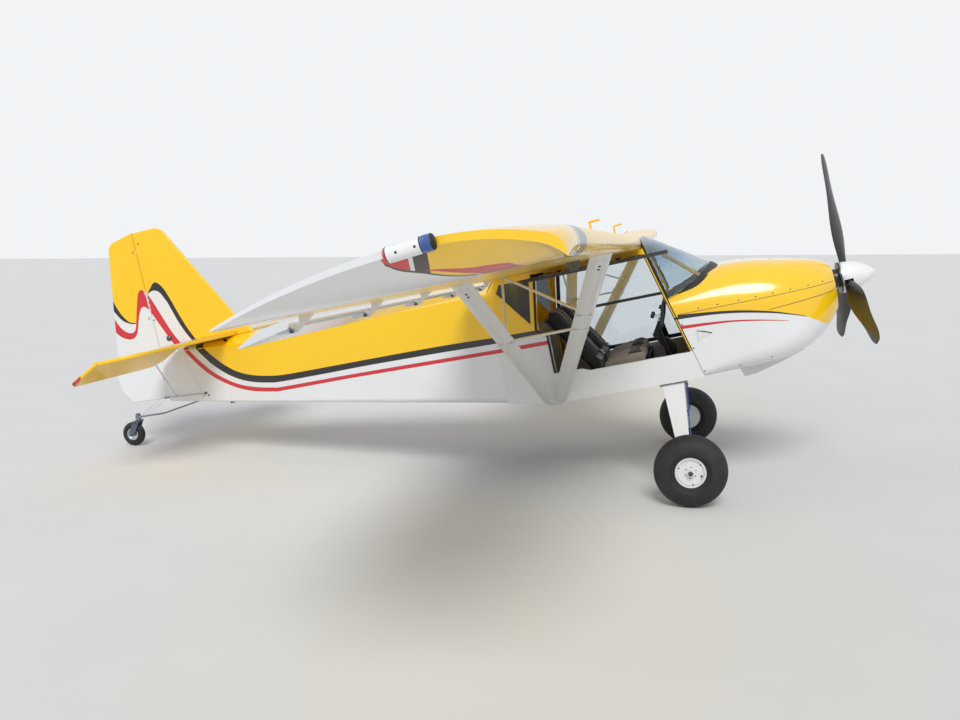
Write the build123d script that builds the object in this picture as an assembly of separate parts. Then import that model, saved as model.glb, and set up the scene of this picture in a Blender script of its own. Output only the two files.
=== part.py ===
from build123d import *
import math
import os

# A two-seat, high-wing, strut-braced ultralight aircraft with a tail wheel, parked on its gear.
# Sizes are in millimetres. Every piece is drawn in level flight: X towards the nose, Y towards the
# left wing tip, Z up, origin midway between the main wheels' centres. The last step tips the whole
# aircraft nose-up until all three wheels touch the ground.

# Clearances
SEAT = 0.3  # between a fixed piece and what it is fastened to
RUN = 0.05  # radial play of a pin or axle in its bore
SWING = 6.0  # around panels that move
EDGE_GAP = 3.0  # around pieces that lie beside each other without touching

# Wheels
MAIN_TYRE_R = 232.0
MAIN_TYRE_W = 190.0
MAIN_RIM_R = 97.0
MAIN_HUB_W = 120.0
TRACK = 1790.0
AXLE_R = 16.0
TAIL_WHEEL_X = -4470.0
TAIL_WHEEL_Z = 795.0
TAIL_TYRE_R = 100.0
TAIL_TYRE_W = 52.0
TAIL_RIM_R = 50.0
TAIL_AXLE_R = 6.0

# Fuselage
BODY_HALF_W = 500.0
WALL = 25.0
BELLY_Z = 510.0
KNEE_X = -800.0  # the belly starts to rise here
TAIL_POST_Z = 1010.0  # belly height at the tail post
CABIN_REAR_X = -1150.0
SIDE_TOP_Z = 1345.0
DECK_Z = 1427.0  # top of the rear fuselage, under the stabilizer
POST_FOOT = (199.0, 519.0)  # x, z of the slanted front edge of the cabin side, at the belly
POST_CORNER = (53.0, 1070.0)  # the windshield's lower side corner
POST_HEAD_Z = 1430.0
FLOOR_T = 14.0
FIREWALL_X = 425.0
FIREWALL_T = 6.0

# Wing
WING_HALF_SPAN = 4375.0
WING_ROOT_Y = 500.5
TIP_LENGTH = 245.0
WING_TIP_Y = WING_HALF_SPAN - TIP_LENGTH
WING_LE_X = -30.0
WING_CHORD = 1045.0
WING_T = 122.0
WING_Z = 1430.0  # underside at the root
DIHEDRAL = 0.9  # degrees
CREST_BACK = 340.0  # thickest point behind the leading edge
TRAIL_EDGE_T = 6.0

# Flaperons hang below and behind the wing
FLAP_CHORD = 205.0
FLAP_T = 32.0
FLAP_IN_Y = 600.0
FLAP_OUT_Y = WING_TIP_Y - 330.0
FLAP_DROOP = 10.0  # degrees, trailing edge down
FLAP_NOSE_GAP = 16.0  # nose of the flaperon behind the wing's trailing edge
FLAP_DROP = 18.0  # nose centre below the wing's underside
FLAP_PIN_DROP = 44.0  # hinge pin below the wing's underside
FLAP_PIN_R = 4.0
FLAP_FIRST_Y = 840.0
FLAP_PITCH = (FLAP_OUT_Y - 40.0 - FLAP_FIRST_Y) / 4
FLAP_STATIONS = [FLAP_FIRST_Y + number * FLAP_PITCH for number in range(5)]

# Lift struts
STRUT_CHORD = 104.0
STRUT_T = 38.0
STRUT_FOOT_Z = 520.0
STRUT_HEAD_Y = 2330.0
FRONT_STRUT_FOOT_X = -800.0
FRONT_STRUT_HEAD_X = -160.0
REAR_STRUT_FOOT_X = -845.0
REAR_STRUT_HEAD_X = -850.0
JURY_AT = 0.6  # share of the lift struts' length where the jury strut's cross tube meets them
JURY_DIAGONAL_AT = 0.69  # the same for its diagonal on the front strut
JURY_TUBE_R = 8.0
JURY_HEAD_Y = 1310.0

# Tail
HINGE_TUBE_R = 13.0
TAIL_PANEL_T = 26.0
TAIL_EDGE_R = 8.0  # rounding of the tail panels' edges
HINGE_PIN_R = 4.0
RUDDER_HINGE_X = -4052.0
FIN_TOP_Z = 2403.0
ELEVATOR_HINGE_X = -3790.0
ELEVATOR_CHORD = 268.0
ELEVATOR_DROOP = 26.0  # degrees, at rest on its lower stop
STAB_HALF_SPAN = 1190.0
STAB_ROOT_X = -3330.0
ELEVATOR_STATIONS = (300.0, 1000.0)
RUDDER_STATIONS = (1200.0, 1700.0, 2250.0)

# Landing gear
LEAF_T = 22.0
LEAF_TOP_W = 140.0
LEAF_END_W = 48.0
LEAF_X = -18.0  # middle of the leaf
LEAF_KNEE_Y = 470.0
TAIL_SPRING_W = 44.0
TAIL_SPRING_T = 12.0
KING_PIN_X = -4395.0
KING_PIN_Z = 925.0
KING_PIN_R = 8.0
KING_HOUSING_R = 22.0
KING_HOUSING_H = 50.0

# Engine and propeller
ENGINE_BOX = (520.0, 1010.0, 260.0, 740.0, 1050.0)  # x from, x to, half width, z from, z to
MOUNT_TUBE_R = 12.0
MOUNT_TUBE_Z = (800.0, 1000.0)
PROP_AXIS_Z = 950.0
PROP_X = 1240.0
PROP_TIP_R = 855.0
BLADES = 3
FIRST_BLADE = 5.0  # degrees from straight up, towards the left wing
SPINNER_R = 108.0
SPINNER_BASE_X = 1205.0
SPINNER_TIP_X = 1440.0
SHAFT_R = 20.0
COWL_NOSE_X = 1138.0
COWL_SPLIT_Z = 955.0
INTAKE_AT = (138.0, 978.0)  # y, z
INTAKE_R = 38.0
LIP_HALF_W = 300.0
COWL_WALL = 6.0

# Doors, hinged along their top edge
DOOR_TOP_Z = 1395.0
DOOR_SILL_Z = 695.0
DOOR_REAR_X = -775.0
DOOR_REAR_BEND_Z = 985.0  # the opening's rear edge is upright below this height
DOOR_WIDEST = (-845.0, 1035.0)  # x, z of the opening's widest point
DOOR_REAR_TOP_X = -785.0
DOOR_POST_W = 22.0
DOOR_T = 22.0
DOOR_FRAME_W = 30.0
DOOR_RAIL_Z = 1057.0
DOOR_PIN_R = 3.0
DOOR_OPEN = 91.0  # degrees
DOOR_HINGES_X = (-220.0, -620.0)

DOOR_HINGE_W = 26.0  # length of one hinge knuckle
DOOR_STEP = ((-545.0, 0.0), (-600.0, 20.0))  # x and rise, where the sill steps up towards the rear

# Windows and cabin
PANE_T = 3.0
GLASS_FRONT = (424.0, 1211.0)  # x, z of the windshield's lowest front point
QUARTER_WINDOW = [(-885, 1078), (-1080, 1335), (-1050, 1390), (-835, 1390)]
ROOF_T = 10.0
SKYLIGHT_X = (-700.0, -180.0)
SKYLIGHT_HALF_W = 360.0
GLARE_T = 6.0
GLARE_DROP = 9.0  # top of the glareshield below the windshield's foot
GLARE_REACH = 355.0  # from the windshield's side corner forward
TRIM_GAP = 10.0  # sides of the cabin's fittings to the cabin's inner walls
PANEL_LOW_Z = 897.0  # lower edge of the instrument panel
PANEL_REAR_X = (-34.0, 2.0)  # rear face of the panel, at its lower and upper edge
PANEL_T = 25.0
CONSOLE_HALF_W = 45.0
PAN_FRONT = (-150.0, 668.0)  # x, z along the seat pan's top
PAN_REAR = (-500.0, 640.0)
BACK_HEAD = (-785.0, 1085.0)  # x, z of the seat back's top
BACK_PAD_FOOT = 34.0  # thickness of the back pad's foot, behind the cushion
SEAT_Y = (14.0, 440.0)  # sides of one seat
STICK_Y = 240.0
PEDALS_Y = (-330.0, -160.0, 160.0, 330.0)
PEDAL_X = 256.0
FRONT_TUBE_X = -160.0
REAR_TUBE_X = -850.0
GLASS_APEX = (-66.0, 1474.0)  # x, z where the tubes behind the windshield meet
CROSS_TUBE_R = 16.0
BRACE_TUBE_R = 10.0
POST_TUBE_R = 11.0

# Rope eyes
TIE_R = 9.0
TIE_T = 8.0
TIE_DROP = 22.0
TIE_X = -300.0
TIE_Y = 2300.0
TAIL_TIE_X = -3510.0


def side_plane(y, x=0.0, z=0.0):
    """Drawing plane across the aircraft's left-right axis: local x is X, local y is Z."""
    return Plane(origin=(x, y, z), x_dir=(1, 0, 0), z_dir=(0, -1, 0))


def station_plane(x, z=0.0):
    """Drawing plane across the fuselage: local x is Y, local y is Z."""
    return Plane(origin=(x, 0, z), x_dir=(0, 1, 0), z_dir=(1, 0, 0))


def slab(points, y_low, y_high):
    """A flat plate with an outline of (x, z) points, from y_low to y_high."""
    outline = make_face(Polyline(*points, close=True))
    return extrude(side_plane(y_high) * outline, amount=y_high - y_low)


def block(x_low, x_high, y_low, y_high, z_low, z_high):
    size = (x_high - x_low, y_high - y_low, z_high - z_low)
    middle = ((x_low + x_high) / 2, (y_low + y_high) / 2, (z_low + z_high) / 2)
    return Pos(*middle) * Box(*size)


def rod(start, end, radius):
    """A round bar between two points."""
    start, end = Vector(start), Vector(end)
    line = end - start
    face = Plane(origin=start, z_dir=line.normalized()) * Circle(radius)
    return extrude(face, amount=line.length)


def other_side(piece):
    return mirror(piece, about=Plane.XZ)


def inset(points, amount):
    """The same closed outline, drawn smaller by amount all round."""
    face = make_face(Polyline(*points, close=True))
    return offset(face, amount=-amount, kind=Kind.INTERSECTION)


def post_x(z):
    """X of the cabin side's slanted front edge at height z."""
    share = (z - POST_FOOT[1]) / (POST_CORNER[1] - POST_FOOT[1])
    return POST_FOOT[0] + share * (POST_CORNER[0] - POST_FOOT[0])


def belly_z(x):
    """Height of the belly at x."""
    rise = (TAIL_POST_Z - BELLY_Z) / (KNEE_X - RUDDER_HINGE_X)
    return BELLY_Z + rise * max(0.0, KNEE_X - x)


def wing_under(y):
    """Height of the wing's underside at y."""
    return WING_Z + (abs(y) - WING_ROOT_Y) * math.tan(math.radians(DIHEDRAL))


def foil(le_x, chord, thick, low, crest_back=CREST_BACK):
    """A flat-bottomed wing section: round nose, arched top, thin trailing edge."""
    size = thick / WING_T
    crest = (le_x - crest_back, low + thick)
    shoulder = (le_x - 0.16 * crest_back, low + 0.73 * thick)
    chin = (le_x - 46.0 * size, low)
    tail_top = (le_x - chord, low + TRAIL_EDGE_T * min(1.0, 3 * size))
    tail_low = (le_x - chord, low)
    back = TangentArc(crest, tail_top, tangent=(-1, 0))
    front = TangentArc(crest, shoulder, tangent=(1, 0))
    nose = TangentArc(shoulder, chin, tangent=front % 1)
    return make_face([back, front, nose, Line(chin, tail_low), Line(tail_low, tail_top)])


# Fuselage

def rear_fuselage():
    # x, half width, belly, side top, deck ridge
    stations = (
        (CABIN_REAR_X - SEAT, BODY_HALF_W, SIDE_TOP_Z, DECK_Z + 13),
        (-2000.0, 372.0, SIDE_TOP_Z, DECK_Z + 6),
        (-3150.0, 196.0, SIDE_TOP_Z + 7, DECK_Z),
        (RUDDER_HINGE_X + HINGE_TUBE_R + SWING, 45.0, DECK_Z - 22, DECK_Z),
    )
    faces = []
    for x, half_w, side_top, ridge in stations:
        low = belly_z(x)
        corner = 0.1 * half_w
        right = [
            Line((-half_w, side_top), (-half_w, low + corner)),
            ThreePointArc(
                (-half_w, low + corner),
                (-half_w + 0.293 * corner, low + 0.293 * corner),
                (-half_w + corner, low),
            ),
        ]
        floor_line = Line((-half_w + corner, low), (half_w - corner, low))
        left = [
            ThreePointArc(
                (half_w - corner, low),
                (half_w - 0.293 * corner, low + 0.293 * corner),
                (half_w, low + corner),
            ),
            Line((half_w, low + corner), (half_w, side_top)),
        ]
        deck = ThreePointArc((half_w, side_top), (0, ridge), (-half_w, side_top))
        faces.append(station_plane(x) * make_face(right + [floor_line] + left + [deck]))
    body = loft(faces, ruled=True)
    # groove over the deck for the elevator's torque tube
    groove = rod((ELEVATOR_HINGE_X, -200, stab_z()), (ELEVATOR_HINGE_X, 200, stab_z()), HINGE_TUBE_R + SWING)
    body -= groove
    for z in RUDDER_STATIONS:
        if z < DECK_Z:
            body += rudder_lug(z)
    return body


def stab_z():
    """Mid-height of the stabilizer, which lies on the deck."""
    return DECK_Z + SEAT + TAIL_PANEL_T / 2


def door_outline():
    top = DOOR_TOP_Z
    sill = DOOR_SILL_Z
    return [
        (post_x(sill) - DOOR_POST_W, sill),
        *[(x, sill + rise) for x, rise in DOOR_STEP],
        (DOOR_REAR_X, sill + DOOR_STEP[-1][1]),
        (DOOR_REAR_X, DOOR_REAR_BEND_Z),
        DOOR_WIDEST,
        (DOOR_REAR_TOP_X, top),
        (post_x(top) - DOOR_POST_W, top),
    ]


def door_rear_x(z):
    """X of the door opening's rear edge at height z, above its widest point."""
    wide_x, wide_z = DOOR_WIDEST
    return wide_x + (DOOR_REAR_TOP_X - wide_x) * (z - wide_z) / (DOOR_TOP_Z - wide_z)


def cabin_side():
    """Left cabin side: door post, sill and rear quarter, with the door and window cut out."""
    outline = [
        (post_x(BELLY_Z) - EDGE_GAP, BELLY_Z),
        (KNEE_X, BELLY_Z),
        (CABIN_REAR_X, belly_z(CABIN_REAR_X)),
        (CABIN_REAR_X, SIDE_TOP_Z),
        (WING_LE_X - WING_CHORD, POST_HEAD_Z),
        (post_x(POST_HEAD_Z) - EDGE_GAP, POST_HEAD_Z),
    ]
    inner, outer = BODY_HALF_W - WALL, BODY_HALF_W
    side = slab(outline, inner, outer)
    side -= slab(door_outline(), inner - 5, outer + 5)
    side -= slab(QUARTER_WINDOW, inner - 5, outer + 5)
    for x in DOOR_HINGES_X:
        side += door_knuckles(x, fixed=True)
    return side


def door_axis():
    """y and z of the left door's hinge line."""
    return BODY_HALF_W + 7.0, DOOR_TOP_Z + 3.0


def door_knuckles(x, fixed):
    """One hinge of the left door: the door's knuckle turns between the cabin side's two."""
    y, z = door_axis()
    length = DOOR_HINGE_W
    outer_r = 2 * DOOR_PIN_R + 0.5
    if fixed:
        pin = rod((x - 1.5 * length, y, z), (x + 1.5 * length, y, z), DOOR_PIN_R)
        ears = Part()
        for end in (-1, 1):
            middle = x + end * length
            low, high = middle - length / 2 + 1, middle + length / 2 - 1
            ears += rod((low, y, z), (high, y, z), outer_r)
            ears += block(low, high, BODY_HALF_W - 8, y, z, z + outer_r)
        return pin + ears
    low, high = x - length / 2 + 1, x + length / 2 - 1
    knuckle = rod((low, y, z), (high, y, z), outer_r)
    knuckle += block(low, high, BODY_HALF_W - 10, y, z - outer_r - 8, DOOR_TOP_Z - SWING)
    knuckle += block(low, high, BODY_HALF_W + 1, y, z - outer_r - 8, z)
    return knuckle - rod((low - 1, y, z), (high + 1, y, z), DOOR_PIN_R + RUN)


def door_frame():
    """Left door, closed: a tube frame with a mid rail and two clear panes."""
    inner, outer = BODY_HALF_W - DOOR_T, BODY_HALF_W
    door = extrude(side_plane(outer) * inset(door_outline(), SWING), amount=DOOR_T)
    for low, high in door_pane_heights():
        door -= door_pane_cut(low, high, 0.0, inner - 5, outer + 5)
    y, z = door_axis()
    for x in DOOR_HINGES_X:
        low, high = x - 1.5 * DOOR_HINGE_W - 4, x + 1.5 * DOOR_HINGE_W + 4
        door -= block(low, high, y - 10, outer + 5, DOOR_TOP_Z - SWING - 3, DOOR_TOP_Z)
        door += door_knuckles(x, fixed=False)
    return door


def door_pane_heights():
    half_rail = 11.0
    return (
        (DOOR_SILL_Z + SWING + DOOR_FRAME_W, DOOR_RAIL_Z - half_rail),
        (DOOR_RAIL_Z + half_rail, DOOR_TOP_Z - SWING - DOOR_FRAME_W),
    )


def door_pane_cut(low, high, gap, y_low, y_high):
    """The opening of one pane, drawn smaller by gap."""
    edge = SWING + DOOR_FRAME_W
    front = DOOR_POST_W + edge
    step = 1.0 if low < DOOR_RAIL_Z else 0.0
    rear = [DOOR_REAR_X + edge, DOOR_REAR_X + edge]
    if low > DOOR_RAIL_Z:
        rear = [door_rear_x(low) + edge, door_rear_x(high) + edge]
    points = [
        (post_x(low) - front - gap, low + gap),
        *[(x - gap, low + step * rise + gap) for x, rise in DOOR_STEP],
        (rear[0] + gap, low + step * DOOR_STEP[-1][1] + gap),
        (rear[1] + gap, high - gap),
        (post_x(high) - front - gap, high - gap),
    ]
    return slab(points, y_low, y_high)


def door_panes():
    middle = BODY_HALF_W - DOOR_T / 2
    panes = Part()
    for low, high in door_pane_heights():
        panes += door_pane_cut(low, high, SEAT, middle - PANE_T / 2, middle + PANE_T / 2)
    return panes


def opened(piece):
    """The door swung up under the wing."""
    y, z = door_axis()
    hinge = Axis((0, y, z), (1, 0, 0))
    return piece.rotate(hinge, DOOR_OPEN)


def quarter_window():
    middle = BODY_HALF_W - WALL / 2
    face = inset(QUARTER_WINDOW, SEAT)
    return extrude(side_plane(middle + PANE_T / 2) * face, amount=PANE_T)


def cabin_floor():
    """Floor of the cabin, which runs on inside the cowl's rear part to the firewall."""
    inner = BODY_HALF_W - WALL - SEAT
    top = FLOOR_T
    front = post_x(BELLY_Z + top) - EDGE_GAP
    points = [
        (front, BELLY_Z),
        (KNEE_X, BELLY_Z),
        (CABIN_REAR_X, belly_z(CABIN_REAR_X)),
        (CABIN_REAR_X, belly_z(CABIN_REAR_X) + top),
        (KNEE_X, BELLY_Z + top),
        (front, BELLY_Z + top),
    ]
    toe_board = block(front - 40, FIREWALL_X - SEAT, -inner, inner, BELLY_Z, BELLY_Z + top)
    return slab(points, -inner, inner) + (toe_board & cowl_form(COWL_WALL + 3 * SEAT))


def roof_section():
    return foil(WING_LE_X, WING_CHORD, WING_T, WING_Z)


def roof_panel():
    """Cover between the wing roots, with a skylight opening."""
    half_w = WING_ROOT_Y - SEAT - 0.5
    skin = roof_section() - offset(roof_section(), amount=-ROOF_T)
    roof = extrude(side_plane(half_w) * skin, amount=2 * half_w)
    roof -= block(-2000, 500, -600, 600, WING_Z - 50, WING_Z + 8)
    roof -= block(WING_LE_X - 27, 500, -600, 600, WING_Z - 50, 2000)
    roof -= block(-250, 500, -600, 600, WING_Z - 50, WING_Z + 0.55 * WING_T)
    roof -= skylight_box(0.0)
    return roof


def skylight_box(gap):
    """The skylight's opening, drawn smaller by gap."""
    rear, front = SKYLIGHT_X
    half_w = SKYLIGHT_HALF_W - gap
    return block(rear + gap, front - gap, -half_w, half_w, WING_Z + 0.3 * WING_T, 2000)


def skylight():
    skin = roof_section() - offset(roof_section(), amount=-ROOF_T)
    pane = extrude(side_plane(SKYLIGHT_HALF_W) * skin, amount=2 * SKYLIGHT_HALF_W)
    return pane & skylight_box(SEAT)


def cowl_face(x, half_w, low, high, r_low, r_high, wall):
    """One cross-section of the cowl: flat sides, round shoulders and round chine."""
    half_w, low, high = half_w - wall, low + wall, high - wall
    r_low, r_high = r_low - wall / 2, r_high - wall / 2
    diag = 1 - math.sqrt(0.5)
    edges = []
    for side in (1, -1):
        w = side * half_w
        chine_in = w - side * r_low
        edges.append(
            ThreePointArc((chine_in, low), (w - side * diag * r_low, low + diag * r_low), (w, low + r_low))
        )
        edges.append(Line((w, low + r_low), (w, high - r_high)))
        edges.append(
            ThreePointArc(
                (w, high - r_high),
                (w - side * diag * r_high, high - diag * r_high),
                (w - side * r_high, high),
            )
        )
    edges.append(Line((half_w - r_high, high), (-half_w + r_high, high)))
    edges.append(Line((half_w - r_low, low), (-half_w + r_low, low)))
    return station_plane(x) * make_face(edges)


def cowl_form(wall, back=0.0):
    # x, half width, low, high, chine radius, shoulder radius
    stations = (
        (30.0, BODY_HALF_W, BELLY_Z + 2, 1090.0, 40.0, 90.0),
        (250.0, BODY_HALF_W - 5, BELLY_Z + 2, 1176.0, 60.0, 220.0),
        (450.0, BODY_HALF_W - 15, BELLY_Z + 2, 1213.0, 100.0, 280.0),
        (900.0, BODY_HALF_W - 95, BELLY_Z + 52, 1148.0, 160.0, 260.0),
        (1060.0, BODY_HALF_W - 198, BELLY_Z + 152, 1108.0, 165.0, 215.0),
        (COWL_NOSE_X, BODY_HALF_W - 288, BELLY_Z + 242, 1062.0, 120.0, 150.0),
    )
    faces = []
    for x, half_w, low, high, r_low, r_high in stations:
        last = x == COWL_NOSE_X
        faces.append(cowl_face(x - (back if last else 0.0), half_w, low, high, r_low, r_high, wall))
    return loft(faces)


def glass_foot_rise():
    """Slope of the plane in which the windshield meets the cowl."""
    return (GLASS_FRONT[1] - POST_CORNER[1]) / (GLASS_FRONT[0] - POST_CORNER[0])


def glareshield_under(x):
    """Height of the glareshield's underside at x."""
    rise = glass_foot_rise()
    return POST_CORNER[1] - GLARE_DROP - GLARE_T * math.hypot(1, rise) + rise * (x - POST_CORNER[0])


def behind_cowl():
    """What the cowl leaves free behind its slanted rear edge and under the windshield."""
    rise = glass_foot_rise()
    points = [
        (post_x(300), 300),
        POST_CORNER,
        (900, POST_CORNER[1] + rise * (900 - POST_CORNER[0])),
        (900, 2000),
        (-500, 2000),
        (-500, 300),
    ]
    return slab(points, -700, 700)


def cowl_shell():
    shell = cowl_form(0.0) - cowl_form(COWL_WALL, back=COWL_WALL)
    shell -= block(0, 35, -600, 600, 400, 1200)
    shell -= behind_cowl()
    shell -= rod((COWL_NOSE_X - 40, 0, PROP_AXIS_Z), (COWL_NOSE_X + 40, 0, PROP_AXIS_Z), 3.4 * SHAFT_R)
    intake_y, intake_z = INTAKE_AT
    for y in (-intake_y, intake_y):
        shell -= rod((COWL_NOSE_X - 40, y, intake_z), (COWL_NOSE_X + 40, y, intake_z), INTAKE_R)
    return shell


def cowl_upper():
    return cowl_shell() & block(-500, 1500, -600, 600, COWL_SPLIT_Z + SEAT, 2000)


def cowl_lower():
    return cowl_shell() & block(-500, 1500, -600, 600, 0, COWL_SPLIT_Z)


def cooling_lip():
    """Open-backed scoop under the cowl."""
    low = BELLY_Z
    outer = [
        (430, low + 2), (455, low - 74), (530, low - 66), (690, low - 22), (852, low + 35),
        (935, low + 90), (935, low + 110), (430, low + 110),
    ]
    inner = [
        (400, low - 74), (530, low - 60), (688, low - 16), (850, low + 41), (900, low + 74),
        (900, low + 130), (400, low + 130),
    ]
    half = LIP_HALF_W
    lip = slab(outer, -half, half) - slab(inner, -half + COWL_WALL, half - COWL_WALL)
    return lip - cowl_form(-SEAT)


def firewall():
    face = cowl_form(COWL_WALL + SEAT) & block(FIREWALL_X, FIREWALL_X + FIREWALL_T, -600, 600, 400, 1300)
    return face - behind_cowl()


def engine_mount():
    front = ENGINE_BOX[0] - SEAT
    back = FIREWALL_X + FIREWALL_T + SEAT
    tubes = Part()
    for y in (-170, 170):
        for z in MOUNT_TUBE_Z:
            tubes += rod((back, y, z), (front, y, z), MOUNT_TUBE_R)
            tubes += rod((back, y, z), (back + 6, y, z), 2 * MOUNT_TUBE_R)
    return tubes


def engine_block():
    x_low, x_high, half_w, z_low, z_high = ENGINE_BOX
    engine = block(x_low, x_high, -half_w, half_w, z_low, z_high)
    engine = fillet(engine.edges(), 25)
    engine += rod((x_high - 10, 0, PROP_AXIS_Z), (1120, 0, PROP_AXIS_Z), 55)
    engine += rod((1100, 0, PROP_AXIS_Z), (PROP_X + 10, 0, PROP_AXIS_Z), SHAFT_R)
    return engine


def windshield():
    """One bent sheet from the wing's leading edge down to the cowl."""
    lift = 1.5
    low_arc = ThreePointArc(
        (POST_CORNER[0] + 4, -BODY_HALF_W + 14, POST_CORNER[1] + lift),
        (GLASS_FRONT[0] - 12, 0, GLASS_FRONT[1] + lift),
        (POST_CORNER[0] + 4, BODY_HALF_W - 14, POST_CORNER[1] + lift),
    )
    top_z = WING_Z + 0.55 * WING_T
    top_arc = ThreePointArc(
        (post_x(top_z) + 4, -BODY_HALF_W + 16, top_z),
        (WING_LE_X - 14, 0, top_z + 20),
        (post_x(top_z) + 4, BODY_HALF_W - 16, top_z),
    )
    sheet = Face.make_surface_from_curves(low_arc, top_arc)
    return thicken(sheet, amount=PANE_T)


def glareshield():
    """Black deck behind the windshield's foot, over the instrument panel."""
    slope = math.atan(glass_foot_rise())
    tilted = Plane(
        origin=(POST_CORNER[0], 0, POST_CORNER[1] - GLARE_DROP),
        x_dir=(math.cos(slope), 0, math.sin(slope)),
        z_dir=(-math.sin(slope), 0, math.cos(slope)),
    )
    half = BODY_HALF_W - WALL - TRIM_GAP
    arc = ThreePointArc((12, -half), (GLARE_REACH, 0), (12, half))
    sides = Polyline((12, half), (-30, half), (-30, -half), (12, -half))
    face = make_face([arc, *sides.edges()])
    wall = cowl_form(0.0) - cowl_form(COWL_WALL + SEAT)
    return extrude(tilted * face, amount=-GLARE_T) - wall


def instrument_panel():
    half = BODY_HALF_W - WALL - TRIM_GAP
    low_rear, top_rear = PANEL_REAR_X
    top_front = top_rear + PANEL_T
    points = [
        (low_rear, PANEL_LOW_Z),
        (low_rear + PANEL_T, PANEL_LOW_Z),
        (top_front, glareshield_under(top_front) - SEAT),
        (top_rear, glareshield_under(top_rear) - SEAT),
    ]
    return slab(points, -half, half)


def centre_console():
    """Kinked column between the instrument panel and the floor."""
    high = PANEL_LOW_Z - SEAT
    low = BELLY_Z + FLOOR_T + SEAT
    rear = PANEL_REAR_X[0]
    points = [
        (rear + PANEL_T, high),
        (rear - 22, high),
        (rear - 78, high - 95),
        (rear - 12, high - 195),
        (rear - 2, low),
        (rear + 78, low),
        (rear + 68, high - 195),
        (rear - 8, high - 95),
    ]
    return slab(points, -CONSOLE_HALF_W, CONSOLE_HALF_W)


def seat_shell():
    """Moulded seat pan and back for two, standing on the cabin floor."""
    floor_top = BELLY_Z + FLOOR_T + SEAT
    half = BODY_HALF_W - WALL - TRIM_GAP
    top_x, top_z = BACK_HEAD
    outer = [
        (PAN_FRONT[0] - 20, floor_top),
        PAN_FRONT,
        PAN_REAR,
        BACK_HEAD,
        (top_x - 12, top_z - 4),
        (PAN_REAR[0] - 40, PAN_REAR[1] + 50),
        (PAN_REAR[0] - 25, floor_top),
    ]
    return slab(outer, -half, half)


def pan_z(x):
    """Height of the seat pan's top at x."""
    share = (x - PAN_FRONT[0]) / (PAN_REAR[0] - PAN_FRONT[0])
    return PAN_FRONT[1] + share * (PAN_REAR[1] - PAN_FRONT[1])


def back_x(z):
    """X of the seat back's front face at height z."""
    share = (z - PAN_REAR[1]) / (BACK_HEAD[1] - PAN_REAR[1])
    return PAN_REAR[0] + share * (BACK_HEAD[0] - PAN_REAR[0])


def cushion(y_low, y_high):
    rear = back_x(pan_z(PAN_REAR[0]) + 2) + BACK_PAD_FOOT
    outline = [
        (PAN_FRONT[0] - 2, pan_z(PAN_FRONT[0] - 2) + SEAT),
        (PAN_FRONT[0] - 2, PAN_FRONT[1] + 77),
        (PAN_FRONT[0] - 60, PAN_FRONT[1] + 92),
        (rear, pan_z(rear) + 74),
        (rear, pan_z(rear) + SEAT),
    ]
    pad = slab(outline, y_low, y_high)
    across = pad.edges().filter_by(Axis.Y).group_by(Axis.Z)
    return fillet(across[-1] + across[-2], 12)


def seat_back(y_low, y_high):
    low = PAN_REAR[1] + 2
    high = BACK_HEAD[1] - 8
    seat_gap = 2 * SEAT
    outline = [
        (back_x(low) + seat_gap, pan_z(PAN_REAR[0]) + 2),
        (back_x(low) + BACK_PAD_FOOT - seat_gap, pan_z(PAN_REAR[0]) + 4),
        (back_x(low) + BACK_PAD_FOOT - seat_gap, low + 90),
        (back_x(high) + 56, high + 64),
        (back_x(high) + 10, high + 76),
        (back_x(high) + seat_gap, high),
    ]
    back = slab(outline, y_low, y_high)
    across = back.edges().filter_by(Axis.Y).group_by(Axis.Z)
    return fillet(across[-1] + across[-2], 10)


def control_sticks():
    sticks = Part()
    foot = BELLY_Z + FLOOR_T + SEAT
    for y in (-STICK_Y, STICK_Y):
        sticks += rod((20, y, foot), (20, y, foot + 14), 30)
        sticks += rod((20, y, foot + 10), (-10, y, 700), 10)
        sticks += rod((-10, y, 698), (-40, y, 860), 14)
    return sticks


def rudder_pedals():
    pedals = Part()
    foot = BELLY_Z + FLOOR_T + SEAT
    for y in PEDALS_Y:
        pedals += block(PEDAL_X - 6, PEDAL_X + 6, y - 45, y + 45, foot + 40, foot + 190)
        pedals += rod((PEDAL_X, y, foot), (PEDAL_X, y, foot + 60), 9)
    return pedals


def trimmed(start, end, radius, others):
    """A round bar cut back where it meets other bars, given as (start, end, radius)."""
    bar = rod(start, end, radius)
    for other_start, other_end, other_radius in others:
        bar -= rod(other_start, other_end, other_radius + SEAT)
    return bar


def cabin_tubes():
    """Yellow steel tubes that show through the glass, each a straight bar."""
    inner = BODY_HALF_W - WALL - SEAT
    high = WING_Z - 22
    front = ((FRONT_TUBE_X, -inner, high), (FRONT_TUBE_X, inner, high), CROSS_TUBE_R)
    rear = ((REAR_TUBE_X, -inner, high), (REAR_TUBE_X, inner, high), CROSS_TUBE_R)
    post_y = inner - POST_TUBE_R - EDGE_GAP
    post_foot = belly_z(REAR_TUBE_X - POST_TUBE_R) + FLOOR_T + SEAT
    tubes = rod(*front) + rod(*rear)
    for side in (-1, 1):
        diagonal = ((FRONT_TUBE_X, side * 60, high), (REAR_TUBE_X, side * (inner - 60), high))
        tubes += trimmed(*diagonal, BRACE_TUBE_R, (front, rear))
        apex = (GLASS_APEX[0], side * 14, GLASS_APEX[1])
        brace = ((FRONT_TUBE_X, side * 30, high), apex, BRACE_TUBE_R)
        stay = (apex, (290, side * 190, 1160), BRACE_TUBE_R)
        tubes += rod(*stay)
        tubes += trimmed(*brace, (front, stay))
        post = ((REAR_TUBE_X, side * post_y, high), (REAR_TUBE_X, side * post_y, post_foot))
        tubes += trimmed(*post, POST_TUBE_R, (rear,))
    return tubes


# Wing

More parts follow.
